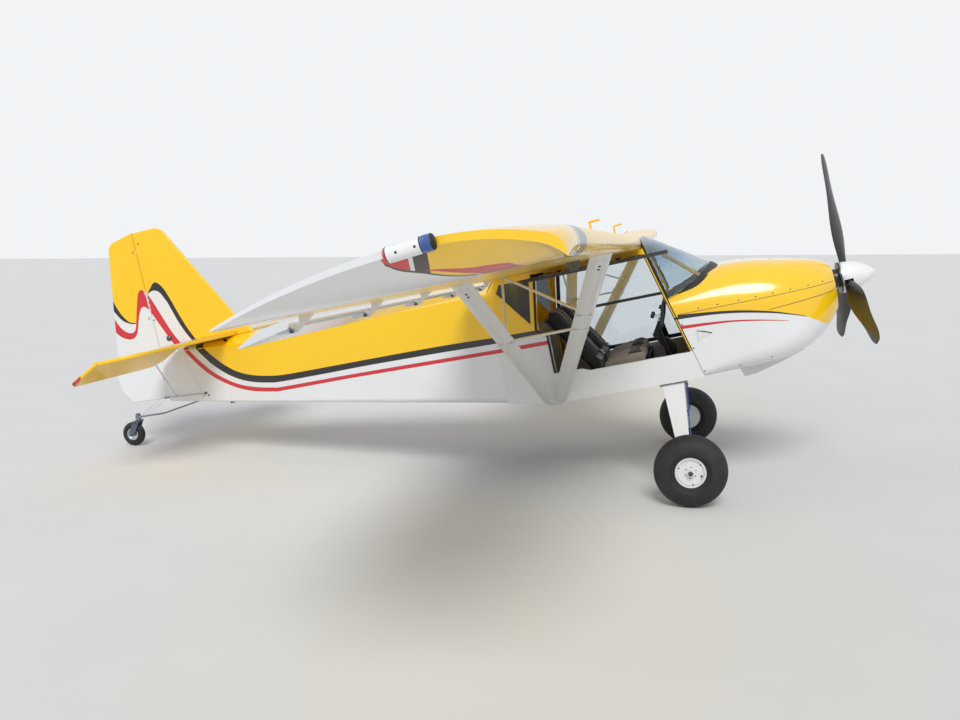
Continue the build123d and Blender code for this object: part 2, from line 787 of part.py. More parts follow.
def wing():
    """Left wing panel."""
    faces = []
    for y in (WING_ROOT_Y, WING_TIP_Y):
        faces.append(side_plane(y) * foil(WING_LE_X, WING_CHORD, WING_T, wing_under(y)))
    return loft(faces, ruled=True)


def tie_eye(x, y, top, foot_half):
    """A flat eye for a rope, hanging below its seat."""
    drop = TIE_DROP
    low = top - 2 * drop
    outline = [(x - foot_half, top), (x + foot_half, top), (x + 2 * TIE_R, low), (x - 2 * TIE_R, low)]
    eye = slab(outline, y - TIE_T / 2, y + TIE_T / 2)
    return eye - rod((x, y - TIE_T, top - drop), (x, y + TIE_T, top - drop), TIE_R)


def tie_down_eyes():
    """Rope eyes under both wings beside the struts, and under the tail."""
    wing_eye = tie_eye(TIE_X, TIE_Y, wing_under(TIE_Y - TIE_T / 2) - SEAT, 36)
    tail_eye = tie_eye(TAIL_TIE_X, 0, belly_z(TAIL_TIE_X) + 10, 30)
    ends = (TAIL_TIE_X - 60, TAIL_TIE_X + 60)
    above_belly = [(x, belly_z(x) - SEAT) for x in ends] + [(x, SIDE_TOP_Z) for x in reversed(ends)]
    return wing_eye + other_side(wing_eye) + (tail_eye - slab(above_belly, -20, 20))


def tip_face(y, nose_in, tail_in, raised, kept):
    """A section of the wing tip: its underside arches up under the top, its nose and tail stay low."""
    low = wing_under(y)
    front = WING_LE_X - nose_in
    rear = WING_LE_X - WING_CHORD + tail_in
    crest = (front - CREST_BACK, low + kept * WING_T)
    shoulder = (front - 0.16 * CREST_BACK, low + (0.73 - 0.2 * raised) * kept * WING_T)
    chin = (front - 46.0 + 40.0 * raised, low)
    jaw = (front - 80.0, low + 0.5 * raised * WING_T)
    arch = (crest[0], low + raised * WING_T)
    tail_top = (rear, low + TRAIL_EDGE_T)
    tail_low = (rear, low)
    top_back = TangentArc(crest, tail_top, tangent=(-1, 0))
    top_front = TangentArc(crest, shoulder, tangent=(1, 0))
    nose = TangentArc(shoulder, chin, tangent=top_front % 1)
    under = [Line(chin, jaw), Line(jaw, arch), Line(arch, tail_low)]
    if raised > 0:
        under_front = TangentArc(arch, jaw, tangent=(1, 0))
        under_nose = TangentArc(jaw, chin, tangent=under_front % 1)
        under = [under_nose, under_front, TangentArc(arch, tail_low, tangent=(-1, 0))]
    return side_plane(y) * make_face([top_back, top_front, nose, *under, Line(tail_low, tail_top)])


def wing_tip():
    """Upswept tip: its underside curves up to a thin arched rim."""
    # share of the tip's length, nose set back, tail set forward, underside raised, top kept
    stations = (
        (0.0, 0.0, 0.0, 0.0, 1.0),
        (0.35, 1.0, 1.0, 0.12, 1.0),
        (0.7, 4.0, 5.0, 0.42, 0.99),
        (1.0, 16.0, 20.0, 0.78, 0.96),
    )
    faces = []
    for share, *shape in stations:
        faces.append(tip_face(WING_TIP_Y + SEAT + share * (TIP_LENGTH - SEAT), *shape))
    return loft(faces)


def light_pod():
    """Navigation light pod on the edge of the left wing tip."""
    y = WING_HALF_SPAN
    z = wing_under(y) + 0.82 * WING_T
    body = rod((-385, y + 12, z + 6), (-545, y + 12, z - 6), 24)
    nose = Pos(-385, y + 12, z + 6) * Sphere(24)
    return (body + nose) & block(-600, -300, y + SEAT, y + 80, 0, 2000)


def flap_pin(y):
    """x, z of the flaperon's hinge pin at y."""
    return WING_LE_X - WING_CHORD - 25.0, wing_under(y) - FLAP_PIN_DROP


def hinge_bar(y, half, radius):
    """A round bar along the flaperon's hinge line, centred at y."""
    ends = [(flap_pin(end)[0], end, flap_pin(end)[1]) for end in (y - half, y + half)]
    return rod(*ends, radius)


def flaperon():
    """Left flaperon: a small wing with hinge lugs under its nose."""
    faces = []
    for y in (FLAP_IN_Y, FLAP_OUT_Y):
        nose_x = WING_LE_X - WING_CHORD - FLAP_NOSE_GAP
        face = foil(nose_x, FLAP_CHORD, FLAP_T, wing_under(y) - FLAP_DROP - FLAP_T / 2, crest_back=60.0)
        pin = flap_pin(y)
        turned = face.rotate(Axis((pin[0], pin[1], 0), (0, 0, 1)), FLAP_DROOP)
        faces.append(side_plane(y) * turned)
    panel = loft(faces, ruled=True)
    for y in FLAP_STATIONS:
        x, z = flap_pin(y)
        for side in (-1, 1):
            middle = y + side * 10.0
            outline = [(x + 9, z - 9), (x - 60, z - 4), (x - 60, z + 22), (x + 4, z + 22), (x + 9, z + 9)]
            panel += slab(outline, middle - 3, middle + 3)
    for y in FLAP_STATIONS:
        panel -= hinge_bar(y, 20, FLAP_PIN_R + RUN)
    return panel


def flap_hangers():
    """Brackets under the left wing's trailing edge, each with its hinge pin."""
    hangers = Part()
    for y in FLAP_STATIONS:
        x, z = flap_pin(y)
        under = wing_under(y - 4) - SEAT
        arm = slab(
            [(x + 88, under), (x + 30, under), (x + 27, z + 18), (x - 8, z + 6), (x - 8, z - 7),
             (x + 12, z - 9), (x + 46, z + 14)],
            y - 4, y + 4,
        )
        hangers += arm + hinge_bar(y, 14, FLAP_PIN_R)
    return hangers


# Struts

def strut_line(foot_x, head_x, share):
    """A point on a left lift strut's centre line."""
    foot = Vector(foot_x, BODY_HALF_W, STRUT_FOOT_Z)
    head = Vector(head_x, STRUT_HEAD_Y, wing_under(STRUT_HEAD_Y))
    return foot + (head - foot) * share


def strut_form(foot_x, head_x, chord, thick):
    start = strut_line(foot_x, head_x, -0.06)
    end = strut_line(foot_x, head_x, 1.06)
    line = end - start
    along = line.normalized()
    chordwise = (Vector(1, 0, 0) - along * along.X).normalized()
    section_plane = Plane(origin=start, x_dir=chordwise, z_dir=along)
    half, bulge = chord / 2, thick / 2
    upper = ThreePointArc((-half, 0), (0.1 * half, bulge), (half, 0))
    lower = ThreePointArc((-half, 0), (0.1 * half, -bulge), (half, 0))
    return extrude(section_plane * make_face([upper, lower]), amount=line.length)


def under_wing_and_outside(piece, gap):
    """Trims a left-hand piece against the wing's underside and the cabin side."""
    span = WING_TIP_Y
    wing_outline = Polyline(
        (WING_ROOT_Y, wing_under(WING_ROOT_Y) - gap),
        (span, wing_under(span) - gap),
        (span, 3000),
        (WING_ROOT_Y, 3000),
        close=True,
    )
    top = extrude(station_plane(-1500) * make_face(wing_outline), amount=3000)
    side = block(-2000, 1000, 0, BODY_HALF_W + gap, 0, 2500)
    return piece - top - side


def front_strut():
    form = strut_form(FRONT_STRUT_FOOT_X, FRONT_STRUT_HEAD_X, STRUT_CHORD, STRUT_T)
    return under_wing_and_outside(form, SEAT)


def rear_strut():
    """Left rear strut, cut back at its foot, where it meets the front strut."""
    form = strut_form(REAR_STRUT_FOOT_X, REAR_STRUT_HEAD_X, STRUT_CHORD, STRUT_T)
    form -= strut_form(FRONT_STRUT_FOOT_X, FRONT_STRUT_HEAD_X, STRUT_CHORD + 2 * SEAT, STRUT_T + 2 * SEAT)
    return under_wing_and_outside(form, SEAT)


def jury_strut():
    """Thin tubes that steady the left lift struts: a cross tube, an upright and a diagonal."""
    front = strut_line(FRONT_STRUT_FOOT_X, FRONT_STRUT_HEAD_X, JURY_AT)
    rear = strut_line(REAR_STRUT_FOOT_X, REAR_STRUT_HEAD_X, JURY_AT)
    inboard = Vector(0, -STRUT_T / 2 - JURY_TUBE_R + 4, 0)
    front, rear = front + inboard, rear + inboard
    outer = strut_line(FRONT_STRUT_FOOT_X, FRONT_STRUT_HEAD_X, JURY_DIAGONAL_AT) + inboard
    head = Vector(REAR_STRUT_HEAD_X, JURY_HEAD_Y, wing_under(JURY_HEAD_Y) + 5)
    cross = (rear, front, JURY_TUBE_R)
    upright = (rear, head, JURY_TUBE_R)
    tubes = rod(*cross) + trimmed(*upright, (cross,)) + trimmed(outer, head, JURY_TUBE_R, (upright,))
    for foot_x, head_x in ((FRONT_STRUT_FOOT_X, FRONT_STRUT_HEAD_X), (REAR_STRUT_FOOT_X, REAR_STRUT_HEAD_X)):
        tubes -= strut_form(foot_x, head_x, STRUT_CHORD + 2 * SEAT, STRUT_T + 2 * SEAT)
    return under_wing_and_outside(tubes, SEAT)


# Tail

def rounded_slab(points, radii, half_t):
    """A flat plate with an outline of (x, z) points, each corner rounded by its radius (0: sharp)."""
    face = make_face(Polyline(*points, close=True))
    for point, radius in zip(points, radii):
        if radius > 0:
            corner = face.vertices().sort_by_distance((*point, 0))[0]
            face = fillet(corner, radius)
    plate = extrude(side_plane(half_t) * face, amount=2 * half_t)
    return fillet(plate.edges().filter_by(Axis.Y, reverse=True), TAIL_EDGE_R)


def soft_edged(half):
    """Rounds the long edges of a left-hand tail plate, apart from those at the middle."""
    edges = half.edges().filter_by(Axis.Z, reverse=True)
    return fillet(edges.filter_by(lambda edge: edge.center().Y > 1), TAIL_EDGE_R)


def fin():
    rear = RUDDER_HINGE_X + HINGE_TUBE_R + SWING
    foot = DECK_Z + TAIL_PANEL_T + 2 * SEAT
    points = [
        (-3176, DECK_Z + 1.5 * SEAT),
        (STAB_ROOT_X + EDGE_GAP, DECK_Z + 1.5 * SEAT),
        (STAB_ROOT_X + EDGE_GAP, foot),
        (rear, foot),
        (rear, FIN_TOP_Z),
        (-3783, FIN_TOP_Z),
        (-3313, 1596),
    ]
    radii = (0, 0, 0, 0, 0, 110, 0)
    panel = rounded_slab(points, radii, TAIL_PANEL_T / 2)
    panel -= rod((ELEVATOR_HINGE_X, -50, stab_z()), (ELEVATOR_HINGE_X, 50, stab_z()), HINGE_TUBE_R + SWING)
    for z in RUDDER_STATIONS:
        if z > DECK_Z:
            panel += rudder_lug(z)
    return panel


def rudder_lug(z):
    """Hinge lug on the tail post, around the rudder's pin."""
    lug_h = 16.0
    x = RUDDER_HINGE_X
    lug = Pos(x, 0, z) * Cylinder(HINGE_TUBE_R - 2, lug_h)
    lug += block(x, x + HINGE_TUBE_R + SWING + 20, -6, 6, z - lug_h / 2, z + lug_h / 2)
    return lug - Pos(x, 0, z) * Cylinder(HINGE_PIN_R + RUN, lug_h * 2)


def rudder():
    x = RUDDER_HINGE_X
    points = [
        (x, FIN_TOP_Z),
        (x - 220.5, FIN_TOP_Z - 44),
        (x - 377, 1485),
        (x - 436, 1290),
        (x - 418, 1150),
        (x - 338, 1051),
        (x, TAIL_POST_Z + 20),
    ]
    radii = (0, 90, 150, 110, 80, 40, 0)
    panel = rounded_slab(points, radii, TAIL_PANEL_T / 2 - 1)
    panel += rod((x, 0, TAIL_POST_Z + 20), (x, 0, FIN_TOP_Z), HINGE_TUBE_R)
    for z in RUDDER_STATIONS:
        panel -= block(x - 20, x + 30, -30, 30, z - 12, z + 12)
        panel += rod((x, 0, z - 14), (x, 0, z + 14), HINGE_PIN_R)
    # steering horn
    panel += block(x - 46, x - 26, -70, 70, TAIL_POST_Z + 32, TAIL_POST_Z + 37)
    return panel


def stabilizer():
    rear = ELEVATOR_HINGE_X + HINGE_TUBE_R + SWING
    half_t = TAIL_PANEL_T / 2
    tip = STAB_HALF_SPAN
    edge = [
        Line((STAB_ROOT_X, 0), (STAB_ROOT_X - 10, 200)),
        Line((STAB_ROOT_X - 10, 200), (STAB_ROOT_X - 130, tip - 170)),
        ThreePointArc(
            (STAB_ROOT_X - 130, tip - 170),
            (STAB_ROOT_X - 205, tip - 45),
            (STAB_ROOT_X - 330, tip),
        ),
        Line((STAB_ROOT_X - 330, tip), (rear, tip)),
        Line((rear, tip), (rear, 0)),
        Line((rear, 0), (STAB_ROOT_X, 0)),
    ]
    half = soft_edged(extrude(Plane.XY.offset(stab_z() - half_t) * make_face(edge), amount=TAIL_PANEL_T))
    for y in ELEVATOR_STATIONS:
        lug = rod((ELEVATOR_HINGE_X, y - 8, stab_z()), (ELEVATOR_HINGE_X, y + 8, stab_z()), HINGE_TUBE_R - 2)
        lug += block(ELEVATOR_HINGE_X, rear + 20, y - 8, y + 8, stab_z() - 6, stab_z() + 6)
        hole_ends = ((ELEVATOR_HINGE_X, y - 20, stab_z()), (ELEVATOR_HINGE_X, y + 20, stab_z()))
        pin_hole = rod(*hole_ends, HINGE_PIN_R + RUN)
        half += lug - pin_hole
    return half + other_side(half)


def elevator():
    """Both elevator halves on one torque tube, drooped on the lower stop."""
    x, z = ELEVATOR_HINGE_X, stab_z()
    tip = STAB_HALF_SPAN
    inner = 95.0
    edge = [
        Line((x, inner), (x - ELEVATOR_CHORD + 60, inner + 20)),
        Line((x - ELEVATOR_CHORD + 60, inner + 20), (x - ELEVATOR_CHORD, inner + 110)),
        Line((x - ELEVATOR_CHORD, inner + 110), (x - ELEVATOR_CHORD, tip - 60)),
        ThreePointArc(
            (x - ELEVATOR_CHORD, tip - 60),
            (x - ELEVATOR_CHORD + 15, tip - 17),
            (x - ELEVATOR_CHORD + 50, tip),
        ),
        Line((x - ELEVATOR_CHORD + 50, tip), (x, tip)),
        Line((x, tip), (x, inner)),
    ]
    half_t = TAIL_PANEL_T / 2 - 1
    half = soft_edged(extrude(Plane.XY.offset(z - half_t) * make_face(edge), amount=2 * half_t))
    half += rod((x, inner, z), (x, tip, z), HINGE_TUBE_R)
    for y in ELEVATOR_STATIONS:
        half -= block(x - 20, x + 30, y - 12, y + 12, z - 30, z + 30)
        half += rod((x, y - 14, z), (x, y + 14, z), HINGE_PIN_R)
    whole = half + other_side(half) + rod((x, -inner - 1, z), (x, inner + 1, z), HINGE_TUBE_R - 3)
    return whole.rotate(Axis((x, 0, z), (0, 1, 0)), -ELEVATOR_DROOP)


def tail_braces():
    """Two rods on each side from the lower rear fuselage up to the stabilizer."""
    braces = Part()
    under = stab_z() - TAIL_PANEL_T / 2 - SEAT
    # foot x, head x, head y
    rods = ((-3690.0, -3480.0, 640.0), (-3960.0, -3740.0, 640.0))
    for foot_x, head_x, head_y in rods:
        foot_y = brace_foot_y(foot_x)
        foot = (foot_x, foot_y, belly_z(foot_x) + 40)
        braces += rod(foot, (head_x, head_y, under + 20), 6)
    braces -= block(-5000, 0, 0, 2000, under, under + 100)
    hull = rear_fuselage_skin(SEAT)
    braces -= hull
    return braces + other_side(braces)


def brace_foot_y(x):
    share = (x + 3150.0) / (RUDDER_HINGE_X + 3150.0)
    return 196.0 + share * (45.0 - 196.0) - 5


def rear_fuselage_skin(gap):
    """The rear fuselage's sides near the tail, grown by gap, to trim pieces against."""
    low, high = 800, 1500
    front, rear = -3150.0, RUDDER_HINGE_X
    points = [(front, 0), (front, 196 + gap), (rear, 45 + gap - 3), (rear, 0)]
    face = make_face(Polyline(*points, close=True))
    return extrude(Plane.XY.offset(low) * face, amount=high - low)


# Landing gear

def gear_leg():
    """Left spring leaf with its axle and end nut."""
    hub_in = TRACK / 2 - MAIN_HUB_W / 2 - 8
    top = BELLY_Z - SEAT - LEAF_T / 2
    path = FilletPolyline((60, top), (LEAF_KNEE_Y, top), (hub_in - 20, 60), (hub_in - 20, -45), radius=70)
    strip = make_face(offset(path, amount=LEAF_T, side=Side.RIGHT))
    strip = Pos(0, LEAF_T / 2) * strip
    width = LEAF_TOP_W + 20
    leaf = extrude(Plane.YZ.offset(LEAF_X - width / 2) * strip, amount=width)
    half_top, half_end = LEAF_TOP_W / 2, LEAF_END_W / 2
    taper = slab(
        [(LEAF_X - half_top, 600), (LEAF_X + half_top, 600), (LEAF_X + half_top, top - LEAF_T),
         (LEAF_X + half_end, -60), (LEAF_X - half_end, -60), (LEAF_X - half_top, top - LEAF_T)],
        0, 1500,
    )
    leg = leaf & taper
    leg += rod((0, hub_in - 36, 0), (0, hub_in, 0), 30)
    leg += rod((0, hub_in - 36, 0), (0, TRACK / 2 + MAIN_HUB_W / 2 + 4, 0), AXLE_R)
    leg += rod((0, TRACK / 2 + MAIN_HUB_W / 2 + 3, 0), (0, TRACK / 2 + MAIN_HUB_W / 2 + 16, 0), AXLE_R + 5)
    return leg


def gear_clamps():
    """Plates that hold the leaf springs under the belly."""
    clamps = Part()
    high = BELLY_Z - 2 * SEAT - LEAF_T
    for y in (-340, 340):
        clamps += block(LEAF_X - 95, LEAF_X + 95, y - 45, y + 45, high - 12, high)
    for y in (-340, 340):
        for x in (LEAF_X - 86, LEAF_X + 86):
            clamps += block(x - 8, x + 8, y - 20, y + 20, high - 2, BELLY_Z - SEAT)
    return clamps


def tyre(radius, width, rim_r, y):
    half = width / 2
    crown = radius - rim_r - SEAT
    low = rim_r + SEAT
    bead = 0.62 * half
    side_r = low + 0.42 * crown
    shoulder = (radius - 0.16 * crown, 0.72 * half)
    other_shoulder = (shoulder[0], -shoulder[1])
    outline = [
        Line((low, -bead), (low, bead)),
        ThreePointArc((low, bead), (side_r, half), shoulder),
        ThreePointArc(shoulder, (radius, 0), other_shoulder),
        ThreePointArc(other_shoulder, (side_r, -half), (low, -bead)),
    ]
    face = Plane.XY * make_face(outline)
    ring = revolve(face, axis=Axis.Y, revolution_arc=360)
    return Pos(0, y, 0) * ring


def main_hub():
    """Left wheel: two discs on a bored centre."""
    half = MAIN_HUB_W / 2
    y = TRACK / 2
    hub = rod((0, y - half, 0), (0, y + half, 0), MAIN_RIM_R)
    hub -= rod((0, y + half - 18, 0), (0, y + half + 1, 0), MAIN_RIM_R - 12)
    hub += rod((0, y + half - 19, 0), (0, y + half - 12, 0), MAIN_RIM_R - 14)
    hub += rod((0, y, 0), (0, y + half, 0), 30)
    return hub - rod((0, y - half - 1, 0), (0, y + half + 1, 0), AXLE_R + RUN)


def king_axis():
    """Direction of the tail wheel's steering pin: upright when the aircraft is parked."""
    nose_up = math.radians(PARKED_PITCH)
    return Vector(math.sin(nose_up), 0, math.cos(nose_up))


def king_plane(offset_z=0.0):
    up = king_axis()
    origin = Vector(KING_PIN_X, 0, KING_PIN_Z) + up * offset_z
    return Plane(origin=origin, x_dir=(up.Z, 0, -up.X), z_dir=up)


def tail_spring():
    """Leaf spring from the belly to the tail wheel's king-pin housing."""
    # x and top of the leaf: clamped to the belly, free behind it, fixed to the housing
    tops = [
        (-3600.0, belly_z(-3600.0) - SEAT),
        (-3790.0, belly_z(-3790.0) - SEAT),
        (KING_PIN_X + 255.0, KING_PIN_Z - 2.0),
        (KING_PIN_X + KING_HOUSING_R - 4, KING_PIN_Z + TAIL_SPRING_T / 2),
    ]
    bottoms = [(x, z - TAIL_SPRING_T) for x, z in reversed(tops)]
    spring = slab(tops + bottoms, -TAIL_SPRING_W / 2, TAIL_SPRING_W / 2)
    housing = extrude(king_plane(-KING_HOUSING_H / 2) * Circle(KING_HOUSING_R), amount=KING_HOUSING_H)
    bore = extrude(king_plane(-KING_HOUSING_H) * Circle(KING_PIN_R + RUN), amount=2 * KING_HOUSING_H)
    return spring + housing - bore


def tail_fork():
    low = -KING_HOUSING_H / 2 - SEAT
    crown_t = 10.0
    arm_in = TAIL_TYRE_W / 2 + 5
    arm_t = 5.0
    axle = tail_wheel_in_king_plane()
    crown = extrude(king_plane(low - crown_t) * Rectangle(52, 2 * (arm_in + arm_t)), amount=crown_t)
    pin = extrude(king_plane(low - 1) * Circle(KING_PIN_R), amount=KING_HOUSING_H + 8)
    cap = extrude(king_plane(KING_HOUSING_H / 2 + SEAT) * Circle(KING_PIN_R + 6), amount=7)
    fork = crown + pin + cap
    for side in (-1, 1):
        along, up = axle
        low_corners = [(along + 18, up - 16), (along - 18, up - 16), (along - 22, up + 20)]
        arm = Polyline((-26, low), (26, low), *low_corners, close=True)
        outer_y = side * (arm_in + arm_t / 2) + arm_t / 2
        origin = (KING_PIN_X, outer_y, KING_PIN_Z)
        plane = Plane(origin=origin, x_dir=king_plane().x_dir, z_dir=(0, -1, 0))
        fork += extrude(plane * make_face(arm), amount=arm_t)
    axle_end = arm_in + arm_t + 6
    fork += rod((TAIL_WHEEL_X, -axle_end, TAIL_WHEEL_Z), (TAIL_WHEEL_X, axle_end, TAIL_WHEEL_Z), TAIL_AXLE_R)
    # steering arms
    fork += extrude(king_plane(low - 6) * (Pos(-10, 0) * Rectangle(18, 140)), amount=5)
    return fork


def tail_wheel_in_king_plane():
    """The tail wheel's centre, along and up the king pin's own frame."""
    away = Vector(TAIL_WHEEL_X, 0, TAIL_WHEEL_Z) - Vector(KING_PIN_X, 0, KING_PIN_Z)
    return away.dot(king_plane().x_dir), away.dot(king_axis())


def tail_hub():
    half = TAIL_TYRE_W / 2 - 2
    hub = rod((0, -half, 0), (0, half, 0), TAIL_RIM_R)
    for side in (-1, 1):
        hub -= rod((0, side * (half - 8), 0), (0, side * (half + 1), 0), TAIL_RIM_R - 7)
    hub += rod((0, -half - 1, 0), (0, half + 1, 0), 14)
    hub -= rod((0, -half - 5, 0), (0, half + 5, 0), TAIL_AXLE_R + RUN)
    return Pos(TAIL_WHEEL_X, 0, TAIL_WHEEL_Z) * hub


# Propeller

def blade():
    """One propeller blade, standing straight up from the hub, thick and round at its root."""
    # radius from the axis, chord, thickness, pitch angle
    stations = (
        (60.0, 56.0, 46.0, 50.0),
        (130.0, 76.0, 34.0, 48.0),
        (260.0, 128.0, 20.0, 42.0),
        (480.0, 122.0, 13.0, 35.0),
        (700.0, 92.0, 9.0, 30.0),
        (PROP_TIP_R, 46.0, 6.0, 28.0),
    )
    faces = []
    for radius, chord, thick, pitch in stations:
        half, bulge = chord / 2, thick / 2
        upper = ThreePointArc((-half, 0), (0, bulge), (half, 0))
        lower = ThreePointArc((-half, 0), (0, -bulge), (half, 0))
        angle = math.radians(pitch)
        plane = Plane(origin=(0, 0, radius), x_dir=(math.sin(angle), math.cos(angle), 0), z_dir=(0, 0, 1))
        faces.append(plane * make_face([upper, lower]))
    return loft(faces)


def propeller():
    """Hub and blades as one turning piece, bored for the engine's shaft."""
    hub = rod((COWL_NOSE_X + 24, 0, 0), (PROP_X + 34, 0, 0), 66)
    hub += rod((SPINNER_BASE_X - 12, 0, 0), (SPINNER_BASE_X - SEAT, 0, 0), SPINNER_R)
    for number in range(BLADES):
        turned = blade().rotate(Axis.X, -FIRST_BLADE - number * 360.0 / BLADES)
        hub += Pos(PROP_X, 0, 0) * turned
    hub -= rod((COWL_NOSE_X, 0, 0), (PROP_X + 10 + SEAT, 0, 0), SHAFT_R + RUN)
    return Pos(0, 0, PROP_AXIS_Z) * hub


def spinner():
    wall = 3.0
    length = SPINNER_TIP_X - SPINNER_BASE_X
    outer = [
        ThreePointArc((0, SPINNER_R), (0.55 * length, 0.77 * SPINNER_R), (length, 0)),
        Line((length, 0), (0, 0)),
        Line((0, 0), (0, SPINNER_R)),
    ]
    inner = [
        ThreePointArc(
            (-1, SPINNER_R - wall),
            (0.53 * length, 0.77 * SPINNER_R - wall),
            (length - 2 * wall, 0),
        ),
        Line((length - 2 * wall, 0), (-1, 0)),
        Line((-1, 0), (-1, SPINNER_R - wall)),
    ]
    cone = revolve(make_face(outer), axis=Axis.X, revolution_arc=360)
    cone -= revolve(make_face(inner), axis=Axis.X, revolution_arc=360)
    cone = Pos(SPINNER_BASE_X, 0, 0) * cone
    for number in range(BLADES):
        slot = Pos(PROP_X, 0, 100) * Box(66, 66, 120)
        cone -= slot.rotate(Axis.X, -FIRST_BLADE - number * 360.0 / BLADES)
    return Pos(0, 0, PROP_AXIS_Z) * cone


def fuel_vents():
    """Two bent breather tubes on the right wing."""
    vents = Part()
    for x, y in ((-219.0, -1940.0), (-190.0, -680.0)):
        foot = wing_under(y) + 0.9 * WING_T
        vents += rod((x, y, foot), (x, y, foot + 75), 6)
        vents += rod((x - 6, y, foot + 69), (x + 52, y, foot + 73), 6)
    faces = []
    for y in (-WING_ROOT_Y, -WING_TIP_Y):
        faces.append(side_plane(y) * foil(WING_LE_X, WING_CHORD, WING_T + SEAT, wing_under(y)))
    return vents - loft(faces, ruled=True)


# Parked attitude

def parked_pitch():
    """Nose-up angle at which main and tail wheels stand on one level floor."""
    reach = math.hypot(TAIL_WHEEL_X, TAIL_WHEEL_Z)
    rise = math.atan2(TAIL_WHEEL_Z, -TAIL_WHEEL_X)
    return math.degrees(rise - math.asin((TAIL_TYRE_R - MAIN_TYRE_R) / reach))


PARKED_PITCH = parked_pitch()


def pieces():
    """Every piece by name, in level flight."""
    found = {
        "rear_fuselage": rear_fuselage(),
        "cabin_floor": cabin_floor(),
        "roof_panel": roof_panel(),
        "skylight": skylight(),
        "cowl_upper": cowl_upper(),
        "cowl_lower": cowl_lower(),
        "cooling_lip": cooling_lip(),
        "firewall": firewall(),
        "engine_mount": engine_mount(),
        "engine_block": engine_block(),
        "windshield": windshield(),
        "glareshield": glareshield(),
        "instrument_panel": instrument_panel(),
        "centre_console": centre_console(),
        "seat_shell": seat_shell(),
        "control_sticks": control_sticks(),
        "rudder_pedals": rudder_pedals(),
        "cabin_tubes": cabin_tubes(),
        "fin": fin(),
        "rudder": rudder(),
        "stabilizer": stabilizer(),
        "elevator": elevator(),
        "tail_braces": tail_braces(),
        "gear_clamps": gear_clamps(),
        "tail_spring": tail_spring(),
        "tail_fork": tail_fork(),
        "tail_tyre": Pos(TAIL_WHEEL_X, 0, TAIL_WHEEL_Z) * tyre(TAIL_TYRE_R, TAIL_TYRE_W, TAIL_RIM_R, 0),
        "tail_hub": tail_hub(),
        "propeller": propeller(),
        "spinner": spinner(),
        "fuel_vents": fuel_vents(),
        "tie_down_eyes": tie_down_eyes(),
        "door_frame_left": door_frame(),
        "door_panes_left": door_panes(),
        "door_frame_right": other_side(opened(door_frame())),
        "door_panes_right": other_side(opened(door_panes())),
    }
    pairs = {
        "cabin_side": cabin_side(),
        "wing": wing(),
        "wing_tip": wing_tip(),
        "flaperon": flaperon(),
        "front_strut": front_strut(),
        "rear_strut": rear_strut(),
        "gear_leg": gear_leg(),
        "main_tyre": tyre(MAIN_TYRE_R, MAIN_TYRE_W, MAIN_RIM_R, TRACK / 2),
        "main_hub": main_hub(),
    }
    for name, piece in pairs.items():
        found[name + "_left"] = piece
        found[name + "_right"] = other_side(piece)
    both = {
        "seat_cushions": cushion(*SEAT_Y),
        "seat_backs": seat_back(*SEAT_Y),
        "quarter_windows": quarter_window(),
        "light_pods": light_pod(),
        "flap_hangers": flap_hangers(),
        "jury_struts": jury_strut(),
    }
    for name, piece in both.items():
        found[name] = piece + other_side(piece)
    return found


def parked(point):
    """Where a point of the level aircraft lies once it stands on its wheels, before centring."""
    x, y, z = point
    nose_up = math.radians(PARKED_PITCH)
    return (
        x * math.cos(nose_up) - z * math.sin(nose_up),
        y,
        MAIN_TYRE_R + x * math.sin(nose_up) + z * math.cos(nose_up),
    )


def stand(found):
    """Tips every piece onto the wheels and centres the aircraft over the origin, fore and aft."""
    tipped = {}
    for name, piece in found.items():
        turned = piece.rotate(Axis.Y, -PARKED_PITCH)
        tipped[name] = Pos(0, 0, MAIN_TYRE_R) * turned
    boxes = [piece.bounding_box() for piece in tipped.values()]
    middle = (min(box.min.X for box in boxes) + max(box.max.X for box in boxes)) / 2
    return {name: Pos(-middle, 0, 0) * piece for name, piece in tipped.items()}, middle


def main():
    os.makedirs("parts", exist_ok=True)
    standing, middle = stand(pieces())
    for name, piece in standing.items():
        export_step(piece, f"parts/{name}.step")
    print(len(standing), "pieces, nose-up", round(PARKED_PITCH, 3), "middle x", round(middle, 2))


if __name__ == "__main__":
    main()
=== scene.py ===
import math

import bmesh
import bpy
from mathutils import Matrix, Vector
from mathutils.bvhtree import BVHTree


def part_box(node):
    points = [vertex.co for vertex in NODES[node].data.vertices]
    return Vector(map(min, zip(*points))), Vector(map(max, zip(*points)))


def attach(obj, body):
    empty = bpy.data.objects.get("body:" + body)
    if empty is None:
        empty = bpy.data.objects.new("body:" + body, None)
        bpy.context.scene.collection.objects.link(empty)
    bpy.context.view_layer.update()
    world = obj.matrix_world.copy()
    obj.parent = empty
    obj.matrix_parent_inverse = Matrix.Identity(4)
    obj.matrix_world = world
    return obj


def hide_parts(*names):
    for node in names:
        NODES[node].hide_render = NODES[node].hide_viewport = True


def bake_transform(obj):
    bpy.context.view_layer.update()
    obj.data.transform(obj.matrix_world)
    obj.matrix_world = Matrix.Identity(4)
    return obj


# Looks of a two-seat, high-wing, strut-braced ultralight aircraft with a tail wheel.
# Places are in metres on the level aircraft: x towards the nose, y towards the left wing tip, z up,
# counted from the middle of the main axle. PARKED carries them to where the aircraft stands.

